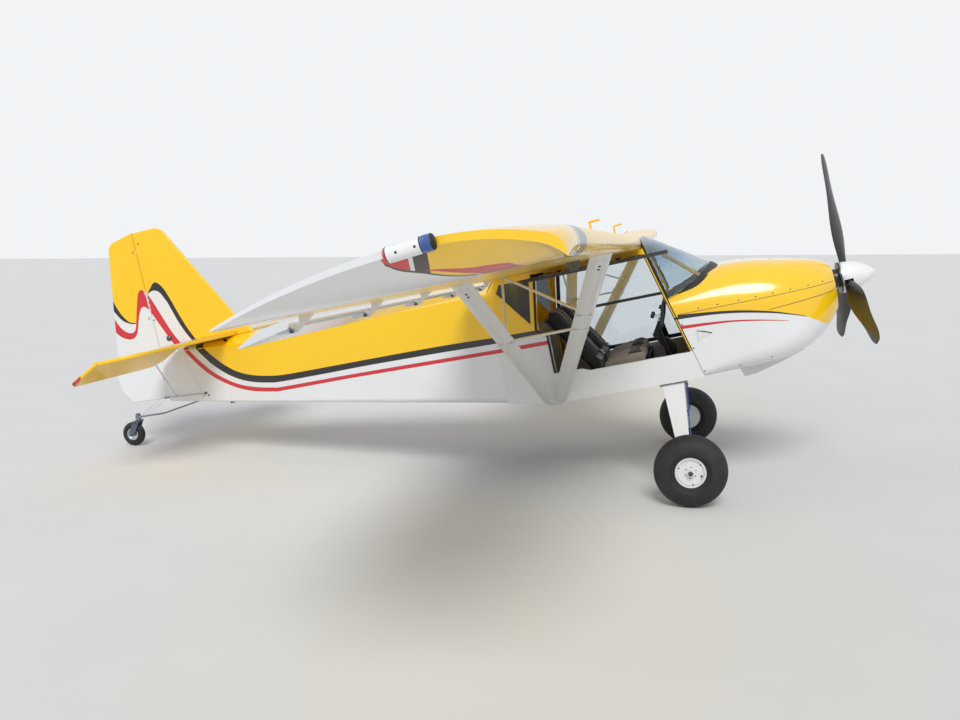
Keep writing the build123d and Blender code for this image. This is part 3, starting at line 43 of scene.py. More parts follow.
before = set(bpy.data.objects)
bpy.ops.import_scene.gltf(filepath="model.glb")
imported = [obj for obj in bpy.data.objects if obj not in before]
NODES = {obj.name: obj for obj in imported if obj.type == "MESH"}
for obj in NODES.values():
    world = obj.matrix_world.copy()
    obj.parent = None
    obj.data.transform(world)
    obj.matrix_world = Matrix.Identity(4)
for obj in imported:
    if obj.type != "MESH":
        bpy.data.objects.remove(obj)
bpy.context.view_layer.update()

NOSE_UP = math.radians(11.751)
hub_low, hub_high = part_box("main_hub_left")
AXLE = Vector(((hub_low.x + hub_high.x) / 2, 0, (hub_low.z + hub_high.z) / 2))
PARKED = Matrix.Translation(AXLE) @ Matrix.Rotation(-NOSE_UP, 4, "Y")
LEVEL = PARKED.inverted()

# Sizes of the solids that the dressing follows
BODY_HALF_W = 0.5
WING_LE_X = -0.03
WING_CHORD = 1.045
WING_T = 0.122
WING_Z = 1.43
WING_ROOT_Y = 0.5005
WING_TIP_Y = 4.13
WING_END_Y = 4.375
DIHEDRAL = math.radians(0.9)
STRUT_HEAD_Y = 2.33
TRACK_HALF = 0.895
TYRE_R = 0.232
TYRE_HALF_W = 0.095
RIM_R = 0.097
TAIL_WHEEL = Vector((-4.470, 0, 0.795))
TAIL_TYRE_R = 0.100
TAIL_TYRE_HALF_W = 0.026
TAIL_RIM_R = 0.050
RUDDER_HINGE_X = -4.052
PROP_AXIS_Z = 0.950
SPINNER_BASE_X = 1.205
COWL_SPLIT_Z = 0.955
DOOR_OPEN = 91.0  # degrees that the right door is swung up

SIDES = ((1, "left"), (-1, "right"))
REACH = 3.0  # from here rays look for a surface


def wing_under(y):
    """Height of the wing's underside at y."""
    return WING_Z + (abs(y) - WING_ROOT_Y) * math.tan(DIHEDRAL)


def post_x(z):
    """Where the door opening's front edge lies at height z."""
    return 0.199 - 0.265 * (z - 0.519)


def linear(hex_colour):
    """An sRGB hex colour as the linear values that a shader takes."""
    parts = [int(hex_colour[i:i + 2], 16) / 255 for i in (1, 3, 5)]
    return [c / 12.92 if c <= 0.04045 else ((c + 0.055) / 1.055) ** 2.4 for c in parts] + [1.0]


YELLOW = linear("#FFCD05")
NAVY = linear("#27324A")
WHITE = linear("#E8EAEC")
STRIPE_BLACK = linear("#14110F")
STRIPE_RED = linear("#D2202C")

# Where yellow gives way to white, over x and in mm: under the black stripe, and on fin and rudder
BODY_EDGE = (
    (-3720, 1530), (-3620, 1390), (-3560, 1307), (-3490, 1235), (-3400, 1165), (-3310, 1113),
    (-3217, 1078), (-3110, 1052), (-3000, 1037), (-2850, 1028), (-2400, 1030), (-1600, 1027),
    (-1100, 1018), (-850, 1014), (-700, 1000), (-600, 800), (-500, 745), (-100, 722), (200, 700),
)
COWL_EDGE = (
    (-20, 947), (82, 939), (309, 921), (489, 897), (672, 855), (800, 815), (907, 772), (1005, 705),
    (1140, 600),
)
FIN_EDGE = (
    (-4060, 1925), (-4008, 1906), (-3983, 1930), (-3955, 1942), (-3925, 1930), (-3889, 1900),
    (-3860, 1850), (-3827, 1765), (-3790, 1640), (-3740, 1520), (-3650, 1420),
)
RUDDER_EDGE = (
    (-4500, 2000), (-4354, 1886), (-4318, 1790), (-4283, 1730), (-4243, 1700), (-4205, 1688),
    (-4180, 1720), (-4155, 1790), (-4130, 1860), (-4100, 1918), (-4070, 1935), (-4030, 1930),
)
EDGE_RANGE = (0.4, 2.2)  # heights that these lines stay between

# On the tip's underside, the distance out along the wing at which each colour begins, over x and in mm
TIP_FIELDS_INNER = (
    (-620, 4400), (-560, 4380), (-529, 4344), (-518, 4325), (-499, 4305), (-477, 4289), (-456, 4272),
    (-425, 4240.5), (-380, 4200), (-330, 4174), (-200, 4150),
)
TIP_STREAK_OUTER = (
    (-480, 4290), (-440, 4283), (-412, 4275), (-339, 4246), (-259, 4236), (-235, 4228), (-222, 4200),
    (-200, 4150),
)
TIP_STREAK_INNER = (
    (-480, 4289), (-437, 4276), (-412, 4258), (-375, 4228), (-339, 4196), (-300, 4150), (-200, 4100),
)
TIP_RANGE = (4.0, 4.5)
TIP_FIELDS_REAR = -0.535
TIP_WHITE_X = -0.395  # the wing tip's top is white behind this
TIP_BAND_IN = 3.96  # the dark band over the tip's joint, at the leading edge
TIP_BAND_OUT = 0.055
TAIL_CORNER_RED = 3.546  # distance out less 0.6 x: the elevator corners are red beyond this, then black
TAIL_CORNER_BLACK = 3.583


# Materials

class Nodes:
    """The shader nodes of a material or a world."""

    def __init__(self, owner):
        owner.use_nodes = True
        self.tree = owner.node_tree
        self.tree.nodes.clear()

    def add(self, kind, inputs=(), **settings):
        """Adds a node. inputs gives its sockets, in order or by name, a value, an output or a node each.
        A node stands for the first of its outputs that is in use."""
        made = self.tree.nodes.new("ShaderNode" + kind)
        for key, value in settings.items():
            setattr(made, key, value)
        for key, value in inputs.items() if isinstance(inputs, dict) else enumerate(inputs):
            if isinstance(value, bpy.types.Node):
                value = next(output for output in value.outputs if output.enabled)
            if isinstance(value, bpy.types.NodeSocket):
                self.tree.links.new(value, made.inputs[key])
            else:
                made.inputs[key].default_value = value
        return made


class Paint(Nodes):
    """A material in the making. level is the point on the level aircraft, with its parts x, y and z, and
    span is its distance from the middle."""

    def __init__(self, name):
        self.material = bpy.data.materials.new(name)
        super().__init__(self.material)
        place = self.add("TexCoord").outputs["Object"]
        inputs = {"Vector": place, "Location": AXLE, "Rotation": (0, -NOSE_UP, 0)}
        self.level = self.add("Mapping", inputs, vector_type="TEXTURE")
        self.x, self.y, self.z = self.add("SeparateXYZ", [self.level]).outputs
        self.span = self.add("Math", [self.y], operation="ABSOLUTE")

    def finish(self, colour, **values):
        """Joins up the shader. values names its other inputs, with _ for a space."""
        inputs = {key.replace("_", " "): value for key, value in values.items()}
        surface = self.add("BsdfPrincipled", {"Base Color": colour, **inputs})
        self.add("OutputMaterial", {"Surface": surface})
        return self.material

    def over_x(self, line, low, high):
        """A smooth line over x, from (x, value) points in mm, as a shader value."""
        line = [(x / 1000, value / 1000) for x, value in line]
        start, end = line[0][0], line[-1][0]
        curve = self.add("FloatCurve", {"Value": self.add("MapRange", [self.x, start, end])})
        points = curve.mapping.curves[0].points
        while len(points) > 2:
            points.remove(points[-1])
        shape = [((x - start) / (end - start), (value - low) / (high - low)) for x, value in line]
        points[0].location = shape[0]
        points[1].location = shape[-1]
        for place in shape[1:-1]:
            points.new(*place)
        for point in points:
            point.handle_type = "AUTO_CLAMPED"
        curve.mapping.update()
        return self.add("MapRange", [curve, 0.0, 1.0, low, high])

    def lay_over(self, colour, *layers):
        """colour with layers over it in turn. A layer is its colour and the tests, each (value, "<" or ">",
        limit), that all hold where it shows."""
        for top, *tests in layers:
            shows = 1.0
            for value, sign, limit in tests:
                operation = "LESS_THAN" if sign == "<" else "GREATER_THAN"
                test = self.add("Math", [value, limit], operation=operation)
                shows = self.add("Math", [shows, test], operation="MULTIPLY")
            colour = self.add("Mix", {0: shows, 6: colour, 7: top}, data_type="RGBA")
        return colour

    def two_tone(self, edge):
        """Yellow above a line, white below."""
        return self.lay_over(WHITE, (YELLOW, (self.z, ">", self.over_x(edge, *EDGE_RANGE))))

    def wear(self, colour, dark):
        """Faint handling dirt and fading, in patches of about 300 mm."""
        lumps = self.add("TexNoise", {"Vector": self.level, "Scale": 1000 / 300, "Detail": 4.0})
        patches = self.add("MapRange", [lumps, 0.35, 0.75, 0.0, 0.5])
        if isinstance(colour, bpy.types.Node):
            shade = self.add("HueSaturation", {"Color": colour, "Value": dark})
        else:
            shade = [c * dark for c in colour[:3]] + [1.0]
        return self.add("Mix", {0: patches, 6: colour, 7: shade}, data_type="RGBA")

    def cloth(self, colour, along, rib_gap, gloss=0.24):
        """Doped cloth over a rib every rib_gap metres, each of which raises a soft ridge. Its gloss drifts
        in lumps of 40 mm."""
        ridge = self.add("Math", [along, rib_gap / 2], operation="PINGPONG")
        raised = self.add("MapRange", [ridge, 0.0, 0.050, 1.0, 0.0], interpolation_type="SMOOTHSTEP")
        lumps = self.add("TexNoise", {"Vector": self.level, "Scale": 1000 / 40, "Detail": 3.0})
        return self.finish(
            self.wear(colour, 0.93), Roughness=self.add("MapRange", [lumps, 0.0, 1.0, gloss, 0.36]),
            Normal=self.add("Bump", {"Height": raised, "Strength": 0.14, "Distance": 0.001}),
            Coat_Weight=0.5, Coat_Roughness=0.08, IOR=1.5,
        )

    def gelcoat(self, colour):
        """Deep gloss with a faint orange peel of 4 mm."""
        peel = self.add("TexNoise", {"Vector": self.level, "Scale": 1000 / 4})
        return self.finish(
            self.wear(colour, 0.95), Roughness=0.2, Coat_Weight=0.8, Coat_Roughness=0.05,
            Normal=self.add("Bump", {"Height": peel, "Strength": 0.03, "Distance": 0.0005}),
        )


def two_tone_cloth(name, edge, rib_axis, rib_gap):
    """Doped polyester cloth in two colours: glossy, with its ribs just showing."""
    paint = Paint(name)
    return paint.cloth(paint.two_tone(edge), getattr(paint, rib_axis), rib_gap)


def wing_cloth(name):
    """Doped polyester cloth of the wings: yellow, with a dark band over the tip's joint."""
    paint = Paint(name)
    start = paint.add("MapRange", [paint.x, -0.16, -0.05, WING_TIP_Y + 0.02, TIP_BAND_IN])
    return paint.cloth(paint.lay_over(YELLOW, (NAVY, (paint.span, ">", start))), paint.y, 0.30, 0.22)


def tail_cloth(name):
    """Doped polyester cloth of the tailplane: yellow, with its outer corners red and then black."""
    paint = Paint(name)
    slope = paint.add("Math", [paint.x, 0.6], operation="MULTIPLY")
    corner = paint.add("Math", [paint.span, slope], operation="SUBTRACT")
    colour = paint.lay_over(
        YELLOW, (linear("#DE3A22"), (corner, ">", TAIL_CORNER_RED)),
        (STRIPE_BLACK, (corner, ">", TAIL_CORNER_BLACK)),
    )
    return paint.cloth(colour, paint.y, 0.33, 0.26)


def cowl_gelcoat(name):
    """Gelcoat of the cowl on moulded glass fibre, yellow over white."""
    paint = Paint(name)
    return paint.gelcoat(paint.two_tone(COWL_EDGE))


def tip_gelcoat(name):
    """Gelcoat of the wing tips: yellow, white behind on top, with red, white and black fields below."""
    paint = Paint(name)
    x, out = paint.x, paint.span
    slant = paint.add("Math", [out, 0.35, TIP_WHITE_X - 0.35 * WING_END_Y], operation="MULTIPLY_ADD")
    upper = paint.lay_over(YELLOW, (WHITE, (x, "<", slant)))
    lean = paint.add("Math", [out, 0.30, -0.30 * WING_END_Y], operation="MULTIPLY_ADD")
    edge = paint.add("Math", [x, lean], operation="SUBTRACT")
    streak_in, streak_out, fields_in = [
        paint.over_x(line, *TIP_RANGE) for line in (TIP_STREAK_INNER, TIP_STREAK_OUTER, TIP_FIELDS_INNER)
    ]
    past = paint.add("Math", [out, fields_in], operation="SUBTRACT")
    off_rim = paint.add("Math", [past], operation="ABSOLUTE")
    lower = paint.lay_over(
        YELLOW,
        (STRIPE_BLACK, (edge, "<", -0.409)),
        (WHITE, (edge, "<", -0.450)),
        (STRIPE_RED, (edge, "<", -0.462)),
        (WHITE, (x, "<", TIP_FIELDS_REAR)),
        (STRIPE_RED, (out, ">", streak_in), (out, "<", streak_out), (x, ">", -0.445), (x, "<", -0.205)),
        (WHITE, (out, "<", fields_in), (x, "<", -0.330)),
        (STRIPE_BLACK, (off_rim, "<", 0.006), (x, ">", TIP_FIELDS_REAR), (x, "<", -0.340)),
    )
    facing = paint.add("SeparateXYZ", [paint.add("NewGeometry").outputs["Normal"]]).outputs["Z"]
    across = paint.add("Math", [out, WING_TIP_Y], operation="SUBTRACT")
    reach = paint.add("MapRange", [x, -0.16, -0.05, -0.02, TIP_BAND_OUT])
    return paint.gelcoat(paint.lay_over(upper, (lower, (facing, "<", -0.02)), (NAVY, (across, "<", reach))))


def flaperon_gelcoat(name):
    """Gelcoat of the flaperons: white, with a grey shine."""
    return enamel(name, "#DCDFE3", 0.16, 0.9)


def enamel(name, hex_colour, rough=0.3, coat=0.4):
    """Sprayed enamel: even colour, soft gloss that drifts in lumps of 30 mm, a slight orange peel of 3 mm
    and faint handling dirt."""
    paint = Paint(name)
    peel = paint.add("TexNoise", {"Vector": paint.level, "Scale": 1000 / 3})
    lumps = paint.add("TexNoise", {"Vector": paint.level, "Scale": 1000 / 30, "Detail": 3.0})
    return paint.finish(
        paint.wear(linear(hex_colour), 0.9), Coat_Weight=coat, Coat_Roughness=0.1,
        Roughness=paint.add("MapRange", [lumps, 0.0, 1.0, rough * 0.8, rough * 1.3]),
        Normal=paint.add("Bump", {"Height": peel, "Strength": 0.06, "Distance": 0.0004}),
    )


def moulded(name, hex_colour, rough=0.55, grain_mm=1.2, strength=0.25):
    """Moulded plastic with a fine leather-like grain that breaks up its shine."""
    paint = Paint(name)
    inputs = {"Vector": paint.level, "Scale": 1000 / grain_mm}
    cells = paint.add("TexVoronoi", inputs, feature="SMOOTH_F1")
    normal = paint.add("Bump", {"Height": cells, "Strength": strength, "Distance": 0.0003})
    return paint.finish(paint.wear(linear(hex_colour), 0.75), Normal=normal, Roughness=rough)


def rubber(name, hex_colour, rough, dusty=0.0):
    """Cured rubber: dull black over a 1.5 mm grain, with a pale bloom of dust in lumps of 90 mm on tyres."""
    paint = Paint(name)
    colour = paint.wear(linear(hex_colour), 0.7)
    if dusty:
        lumps = paint.add("TexNoise", {"Vector": paint.level, "Scale": 1000 / 90, "Detail": 5.0})
        dust = paint.add("MapRange", [lumps, 0.4, 0.85, 0.0, dusty])
        colour = paint.add("Mix", {0: dust, 6: colour, 7: linear("#6E675C")}, data_type="RGBA")
    grain = paint.add("TexNoise", {"Vector": paint.level, "Scale": 1000 / 1.5, "Detail": 3.0})
    normal = paint.add("Bump", {"Height": grain, "Strength": 0.2, "Distance": 0.0005})
    return paint.finish(colour, Normal=normal, Roughness=rough)


WAVE_TURN = 20  # radians to the metre that a wave pattern of scale 1 turns by


def bare_metal(name, hex_colour="#C9CCD0", rough=0.3):
    """Machined metal: bright, with turning lines. These are drawn 5 mm apart, 0.8 mm to the radian, as
    real ones are too fine to show."""
    paint = Paint(name)
    inputs = {"Vector": paint.level, "Scale": 1000 / (0.8 * WAVE_TURN), "Distortion": 1.5}
    lines = paint.add("TexWave", inputs, bands_direction="X").outputs[1]
    normal = paint.add("Bump", {"Height": lines, "Strength": 0.05, "Distance": 0.0002})
    return paint.finish(paint.wear(linear(hex_colour), 0.85), Normal=normal, Metallic=1.0, Roughness=rough)


def acrylic(name, hex_colour, top_tint=None):
    """Clear acrylic sheet, 3 mm: sharp reflections, a faint tint, and a few wiping swirls of 60 mm."""
    paint = Paint(name)
    colour = linear(hex_colour)
    if top_tint:
        height = paint.add("MapRange", [paint.z, 1.24, 1.44])
        colour = paint.add("Mix", {0: height, 6: colour, 7: linear(top_tint)}, data_type="RGBA")
    lumps = paint.add("TexNoise", {"Vector": paint.level, "Scale": 1000 / 60, "Detail": 4.0})
    swirls = paint.add("MapRange", [lumps, 0.4, 0.9, 0.0, 0.08])
    return paint.finish(colour, Roughness=swirls, Transmission_Weight=1.0, IOR=1.49)


def light_lens(name, hex_colour):
    """Moulded polycarbonate lens: deep colour under a hard, sharp shine, with a soft ripple of 8 mm."""
    paint = Paint(name)
    ripple = paint.add("TexNoise", {"Vector": paint.level, "Scale": 1000 / 8})
    normal = paint.add("Bump", {"Height": ripple, "Strength": 0.05, "Distance": 0.0004})
    colour = paint.wear(linear(hex_colour), 0.7)
    return paint.finish(colour, Normal=normal, Roughness=0.06, Coat_Weight=1.0, IOR=1.58)


def woven(name, hex_colour, second, radian_mm=1.6):
    """Woven upholstery: two yarn shades, dull, with a soft sheen at grazing angles. Its threads are drawn
    2 pi times radian_mm apart, 10 mm on the seats, as real ones are too fine to show."""
    paint = Paint(name)
    inputs = {"Vector": paint.level, "Scale": 1000 / (radian_mm * WAVE_TURN), "Distortion": 0.8}
    threads = [paint.add("TexWave", inputs, bands_direction=axis).outputs[1] for axis in "XY"]
    height = paint.add("Math", threads, operation="MAXIMUM")
    fibres = paint.add("TexNoise", {"Vector": paint.level, "Scale": 1000 / 3, "Detail": 5.0})
    share = paint.add("Math", [height, fibres], operation="MULTIPLY")
    colour = paint.add("Mix", {0: share, 6: linear(hex_colour), 7: linear(second)}, data_type="RGBA")
    normal = paint.add("Bump", {"Height": height, "Strength": 0.45, "Distance": 0.0008})
    return paint.finish(
        paint.wear(colour, 0.85), Normal=normal, Roughness=0.9, Sheen_Weight=0.25, Sheen_Roughness=0.5
    )


M = {
    look: maker(name, *values) for look, maker, name, *values in (
        ("body_cloth", two_tone_cloth, "body_doped_cloth", BODY_EDGE, "x", 0.42),
        ("fin_cloth", two_tone_cloth, "fin_doped_cloth", FIN_EDGE, "z", 0.31),
        ("rudder_cloth", two_tone_cloth, "rudder_doped_cloth", RUDDER_EDGE, "z", 0.31),
        ("wing_cloth", wing_cloth, "wing_doped_cloth"),
        ("tail_cloth", tail_cloth, "tail_doped_cloth"),
        ("cowl", cowl_gelcoat, "cowl_gelcoat"),
        ("tip", tip_gelcoat, "tip_gelcoat"),
        ("flaperon", flaperon_gelcoat, "flaperon_gelcoat"),
        ("stripe_black", enamel, "black_stripe_paint", "#14110F", 0.22, 0.7),
        ("stripe_red", enamel, "red_stripe_paint", "#D2202C", 0.22, 0.7),
        ("white_enamel", enamel, "white_enamel_on_steel", "#E6E8EA", 0.28),
        ("strut_paint", enamel, "white_strut_enamel", "#D9D9D5", 0.32),
        ("yellow_enamel", enamel, "yellow_enamel_on_tube", "#FFC808", 0.3),
        ("spinner", enamel, "white_spinner_gelcoat", "#F0F1F2", 0.2, 0.8),
        ("blade", enamel, "black_composite_blade", "#1B1A1A", 0.34, 0.3),
        ("blue_line", enamel, "blue_brake_line", "#1E3F8F", 0.35),
        ("tail_spring", enamel, "grey_spring_enamel", "#6F7884", 0.4),
        ("tail_fork", enamel, "blue_grey_fork_enamel", "#4C5568", 0.38),
        ("door_black", enamel, "black_door_tube_enamel", "#2A2A2A", 0.38),
        ("dial_mark", enamel, "white_dial_print", "#E9E9E4", 0.5, 0.0),
        ("panel_black", moulded, "black_panel_crackle", "#191A1C", 0.6),
        ("plastic_black", moulded, "black_moulded_plastic", "#141416", 0.42, 1.0, 0.12),
        ("dial_face", moulded, "matt_dial_face", "#0B0B0C", 0.6, 0.8, 0.05),
        ("plywood", moulded, "painted_cabin_floor", "#3A3733", 0.6, 6.0, 0.1),
        ("tyre", rubber, "tyre_rubber", "#1B1C1E", 0.66, 0.12),
        # black rubber for seals and edge strips; on the cowl vents it is painted shade along their top edges
        ("seal", rubber, "rubber_edge_seal", "#131315", 0.5),
        # dark rubber in the cowl's split joint; the same strip along the cowl's moulded crease is painted
        # shade
        ("joint_line", rubber, "dark_joint_filler", "#4A4D52", 0.6),
        ("metal", bare_metal, "machined_aluminium"),
        ("dark_metal", bare_metal, "plated_dark_steel", "#5E6064", 0.38),
        ("engine", bare_metal, "cast_engine_alloy", "#8B8D90", 0.5),
        ("glass", acrylic, "clear_acrylic_sheet", "#E9F1F5"),
        ("windshield", acrylic, "tinted_acrylic_windshield", "#DCE9F0", "#7FA3C4"),
        ("smoked", acrylic, "smoked_acrylic_window", "#5B666E"),
        ("blue_lens", light_lens, "blue_light_lens", "#1A4C94"),
        ("red_lens", light_lens, "red_light_lens", "#A3121C"),
        ("seat_black", woven, "black_seat_cloth", "#16171A", "#2A2B2F"),
        ("seat_grey", woven, "grey_beige_seat_cloth", "#8A8073", "#A89E90"),
        ("strap", woven, "grey_harness_webbing", "#8B8E93", "#B5B8BC", 1.2),
    )
}

for look, nodes in {
    "body_cloth": "rear_fuselage cabin_side_left cabin_side_right",
    "wing_cloth": "wing_left wing_right roof_panel",
    "fin_cloth": "fin",
    "rudder_cloth": "rudder",
    "tail_cloth": "stabilizer elevator",
    "tip": "wing_tip_left wing_tip_right",
    "flaperon": "flaperon_left flaperon_right",
    "cowl": "cowl_upper cowl_lower",
    "white_enamel": "cooling_lip gear_clamps flap_hangers gear_leg_left gear_leg_right main_hub_left "
                    "main_hub_right",
    "strut_paint": "tail_braces jury_struts front_strut_left front_strut_right rear_strut_left "
                   "rear_strut_right",
    "yellow_enamel": "cabin_tubes fuel_vents",
    "spinner": "spinner light_pods",
    "blade": "propeller",
    "tail_spring": "tail_spring",
    "tail_fork": "tail_fork",
    "door_black": "door_frame_left door_frame_right",
    "glass": "skylight door_panes_left door_panes_right",
    "windshield": "windshield",
    "smoked": "quarter_windows",
    "panel_black": "glareshield instrument_panel seat_shell",
    "plastic_black": "centre_console control_sticks",
    "plywood": "cabin_floor",
    "metal": "firewall tail_hub",
    "dark_metal": "engine_mount rudder_pedals tie_down_eyes",
    "engine": "engine_block",
    "tyre": "main_tyre_left main_tyre_right tail_tyre",
    "seat_black": "seat_cushions seat_backs",
}.items():
    for node in nodes.split():
        NODES[node].data.materials.clear()
        NODES[node].data.materials.append(M[look])


# Mesh making

def make_piece(name, edit, looks, body="airframe"):
    """Turns a level-frame bmesh into a piece that stands parked and rides on a body, if one is named."""
    bmesh.ops.recalc_face_normals(edit, faces=edit.faces)
    mesh = bpy.data.meshes.new(name)
    edit.to_mesh(mesh)
    edit.free()
    mesh.transform(PARKED)
    for look in looks.split():
        mesh.materials.append(M[look])
    mesh.shade_smooth()
    mesh.set_sharp_from_angle(angle=math.radians(38))
    piece = bpy.data.objects.new(name, mesh)
    bpy.context.scene.collection.objects.link(piece)
    if body:
        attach(piece, body)
    return piece


def add_face(target, corners, look=0):
    target.faces.new(corners).material_index = look


def skin(target, rings, look=0, ends=True):
    """Faces between closed rings of vertices, where one may be a point, and over the two ends."""
    for first, second in zip(rings, rings[1:]):
        sides = max(len(first), len(second))
        for step in range(sides):
            after = (step + 1) % sides
            if len(first) == 1:
                corners = (first[0], second[after], second[step])
            elif len(second) == 1:
                corners = (first[step], first[after], second[0])
            else:
                corners = (first[step], first[after], second[after], second[step])
            add_face(target, corners, look)
    for ring in (rings[0], rings[-1]):
        if ends and len(ring) > 1:
            add_face(target, ring, look)


def circle(sides, shift=0.0):
    """The cosine and sine of evenly spaced angles."""
    angles = [2 * math.pi * (step + shift) / sides for step in range(sides)]
    return [(math.cos(angle), math.sin(angle)) for angle in angles]


def square_to(along):
    helper = Vector((0, 0, 1)) if abs(along.z) < 0.9 else Vector((1, 0, 0))
    return along.cross(helper).normalized()


def add_tube(target, points, radius, sides=12, look=0):
    """A round tube along points."""
    rings = []
    side = None
    for index, point in enumerate(points):
        ahead = points[min(index + 1, len(points) - 1)]
        along = (ahead - points[max(index - 1, 0)]).normalized()
        side = square_to(along) if side is None else (side - along * side.dot(along)).normalized()
        up = along.cross(side)
        spots = [point + (side * c * radius + up * s * radius) for c, s in circle(sides)]
        rings.append([target.verts.new(spot) for spot in spots])
    skin(target, rings, look)


def add_turned(target, profile, centre, axis, sides=32, look=0):
    """A turned shape: profile gives (distance along axis, radius) from end to end."""
    axis = Vector(axis).normalized()
    side = square_to(axis)
    up = axis.cross(side)
    rings = []
    for along, radius in profile:
        middle = Vector(centre) + axis * along
        spots = [middle + (side * c * radius + up * s * radius) for c, s in circle(sides)]
        rings.append([target.verts.new(spot) for spot in (spots if radius else [middle])])
    skin(target, rings, look)


def add_ring(target, profile, centre, sides, axis="y"):
    """A closed ring around the x or y axis from a cross-section of (along the axis, radius) points."""
    rings = []
    for c, s in circle(sides):
        spots = [(c * r, along, s * r) if axis == "y" else (along, c * r, s * r) for along, r in profile]
        rings.append([target.verts.new(Vector(centre) + Vector(spot)) for spot in spots])
    skin(target, rings + rings[:1], ends=False)


def add_block(target, middle, half, bevel=0.002, look=0, turn=Matrix.Identity(4)):
    """A block around middle, half its size each way, with its edges rounded by bevel."""
    place = Matrix.Translation(middle) @ turn @ Matrix.Diagonal((*(2 * size for size in half), 1))
    verts = bmesh.ops.create_cube(target, size=1.0, matrix=place)["verts"]
    for face in {face for vert in verts for face in vert.link_faces}:
        face.material_index = look
    bmesh.ops.bevel(
        target, geom=list({edge for vert in verts for edge in vert.link_edges}), affect="EDGES",
        offset=min(bevel, min(half) * 0.8), segments=2, profile=0.6, material=look,
    )


def add_stud(target, place, normal, radius, height=0.0016, look=0, sides=12):
    """A low domed screw head."""
    profile = (
        (-0.0006, radius), (height * 0.5, radius), (height * 0.9, radius * 0.7), (height, radius * 0.25),
    )
    add_turned(target, profile, place, normal, sides, look)


def add_strip(target, line, normal, width, thick, look=0):
    """A flat strip along line: width lies square to normal, thick along it."""
    rings = []
    for index, point in enumerate(line):
        along = (line[min(index + 1, len(line) - 1)] - line[max(index - 1, 0)]).normalized()
        up = normal[index] if isinstance(normal, list) else Vector(normal)
        up = (up - along * up.dot(along)).normalized()
        side = along.cross(up) * width / 2
        low, high = -up * thick * 0.3, up * thick * 0.7
        edge = (side + low, side + high * 0.7, side * 0.8 + high)
        other = (-side * 0.8 + high, -side + high * 0.7, -side + low)
        rings.append([target.verts.new(point + corner) for corner in edge + other])
    skin(target, rings, look)


def smooth_line(points, gap=0.012):
    """Catmull-Rom curve through points, with a point about every gap metres."""
    points = [Vector(p) for p in points]
    ends = [2 * points[0] - points[1]] + points + [2 * points[-1] - points[-2]]
    out = []
    for before, start, end, after in zip(ends, ends[1:], ends[2:], ends[3:]):
        steps = max(2, int((end - start).length / gap))
        for step in range(steps):
            t = step / steps
            bend = (2 * before - 5 * start + 4 * end - after) * t * t
            twist = (3 * start - before - 3 * end + after) * t ** 3
            out.append(0.5 * (2 * start + (end - before) * t + bend + twist))
    out.append(points[-1])
    return out


def even_line(line, count):
    """The same line with count points, evenly spaced."""
    lengths = [0.0]
    for a, b in zip(line, line[1:]):
        lengths.append(lengths[-1] + (b - a).length)
    out = []
    at = 0
    for step in range(count):
        want = lengths[-1] * step / (count - 1)
        while at < len(line) - 2 and lengths[at + 1] < want:
            at += 1
        share = (want - lengths[at]) / (lengths[at + 1] - lengths[at])
        out.append(line[at].lerp(line[at + 1], min(1.0, max(0.0, share))))
    return out


def tree_of(meshes, place):
    """A search tree over the faces of meshes that place carries."""
    verts, faces = [], []
    for mesh in meshes:
        start = len(verts)
        verts += [place @ v.co for v in mesh.vertices]
        faces += [[start + i for i in polygon.vertices] for polygon in mesh.polygons]
    return BVHTree.FromPolygons(verts, faces)


def level_tree(nodes):
    return tree_of([NODES[node].data for node in nodes.split()], LEVEL)


def side_point(tree, x, z, side):
    """Where a body's side lies at (x, z), and its outward normal."""
    hit, normal, _, _ = tree.ray_cast(Vector((x, side * REACH, z)), Vector((0, -side, 0)))
    if hit is not None and normal.y * side < 0:
        normal = -normal
    return hit, normal


def top_point(tree, x, y):
    """Where a body's top lies at (x, y), and its outward normal."""
    hit, normal, _, _ = tree.ray_cast(Vector((x, y, REACH)), Vector((0, 0, -1)))
    if hit is not None and normal.z < 0:
        normal = -normal
    return hit, normal


def on_body(find, tree, points, *where):
    """Points carried to a body by side_point or top_point, with the normals there."""
    found = [find(tree, *point, *where) for point in points]
    found = [(hit, normal) for hit, normal in found if hit is not None]
    return [hit for hit, _ in found], [normal for _, normal in found]


# Stripes: each band's upper and lower (x, z) line in mm

BODY_BLACK = (
    ((-800, 1032), (-859, 1034), (-1201, 1041), (-1585, 1050), (-2156, 1052), (-2649, 1051),
     (-2901, 1053), (-3022, 1064), (-3152, 1087), (-3249, 1116), (-3336, 1156), (-3417, 1212),
     (-3485, 1273), (-3547, 1338), (-3600, 1405), (-3650, 1480)),
    ((-800, 995), (-837, 996), (-1173, 997), (-1622, 1004), (-2167, 1008), (-2514, 1005), (-2934, 1005),
     (-3066, 1017), (-3185, 1040), (-3283, 1071), (-3375, 1116), (-3452, 1167), (-3531, 1235),
     (-3590, 1300), (-3650, 1378), (-3715, 1480)),
)
BODY_RED = (
    ((-760, 949), (-989, 952), (-1373, 956), (-1901, 961), (-2378, 964), (-2925, 963), (-3026, 971),
     (-3126, 987), (-3226, 1010), (-3325, 1043), (-3419, 1091), (-3506, 1148), (-3575, 1206),
     (-3633, 1268), (-3690, 1335), (-3800, 1480)),
    ((-760, 922), (-983, 924), (-1379, 929), (-1907, 934), (-2385, 937), (-2933, 934), (-3034, 941),
     (-3134, 956), (-3235, 978), (-3334, 1012), (-3429, 1059), (-3515, 1112), (-3590, 1170),
     (-3648, 1229), (-3700, 1290), (-3840, 1480)),
)
COWL_BLACK = (
    ((50, 956), (82, 954), (309, 931), (489, 905), (672, 862), (800, 819), (900, 779)),
    ((50, 926), (86, 924), (306, 912), (486, 889), (670, 850), (799, 812), (900, 775)),
)
COWL_RED = (
    ((105, 878), (297, 864), (437, 849), (582, 824), (700, 797), (790, 773)),
    ((110, 855), (294, 848), (435, 838), (580, 816), (699, 792), (790, 771)),
)
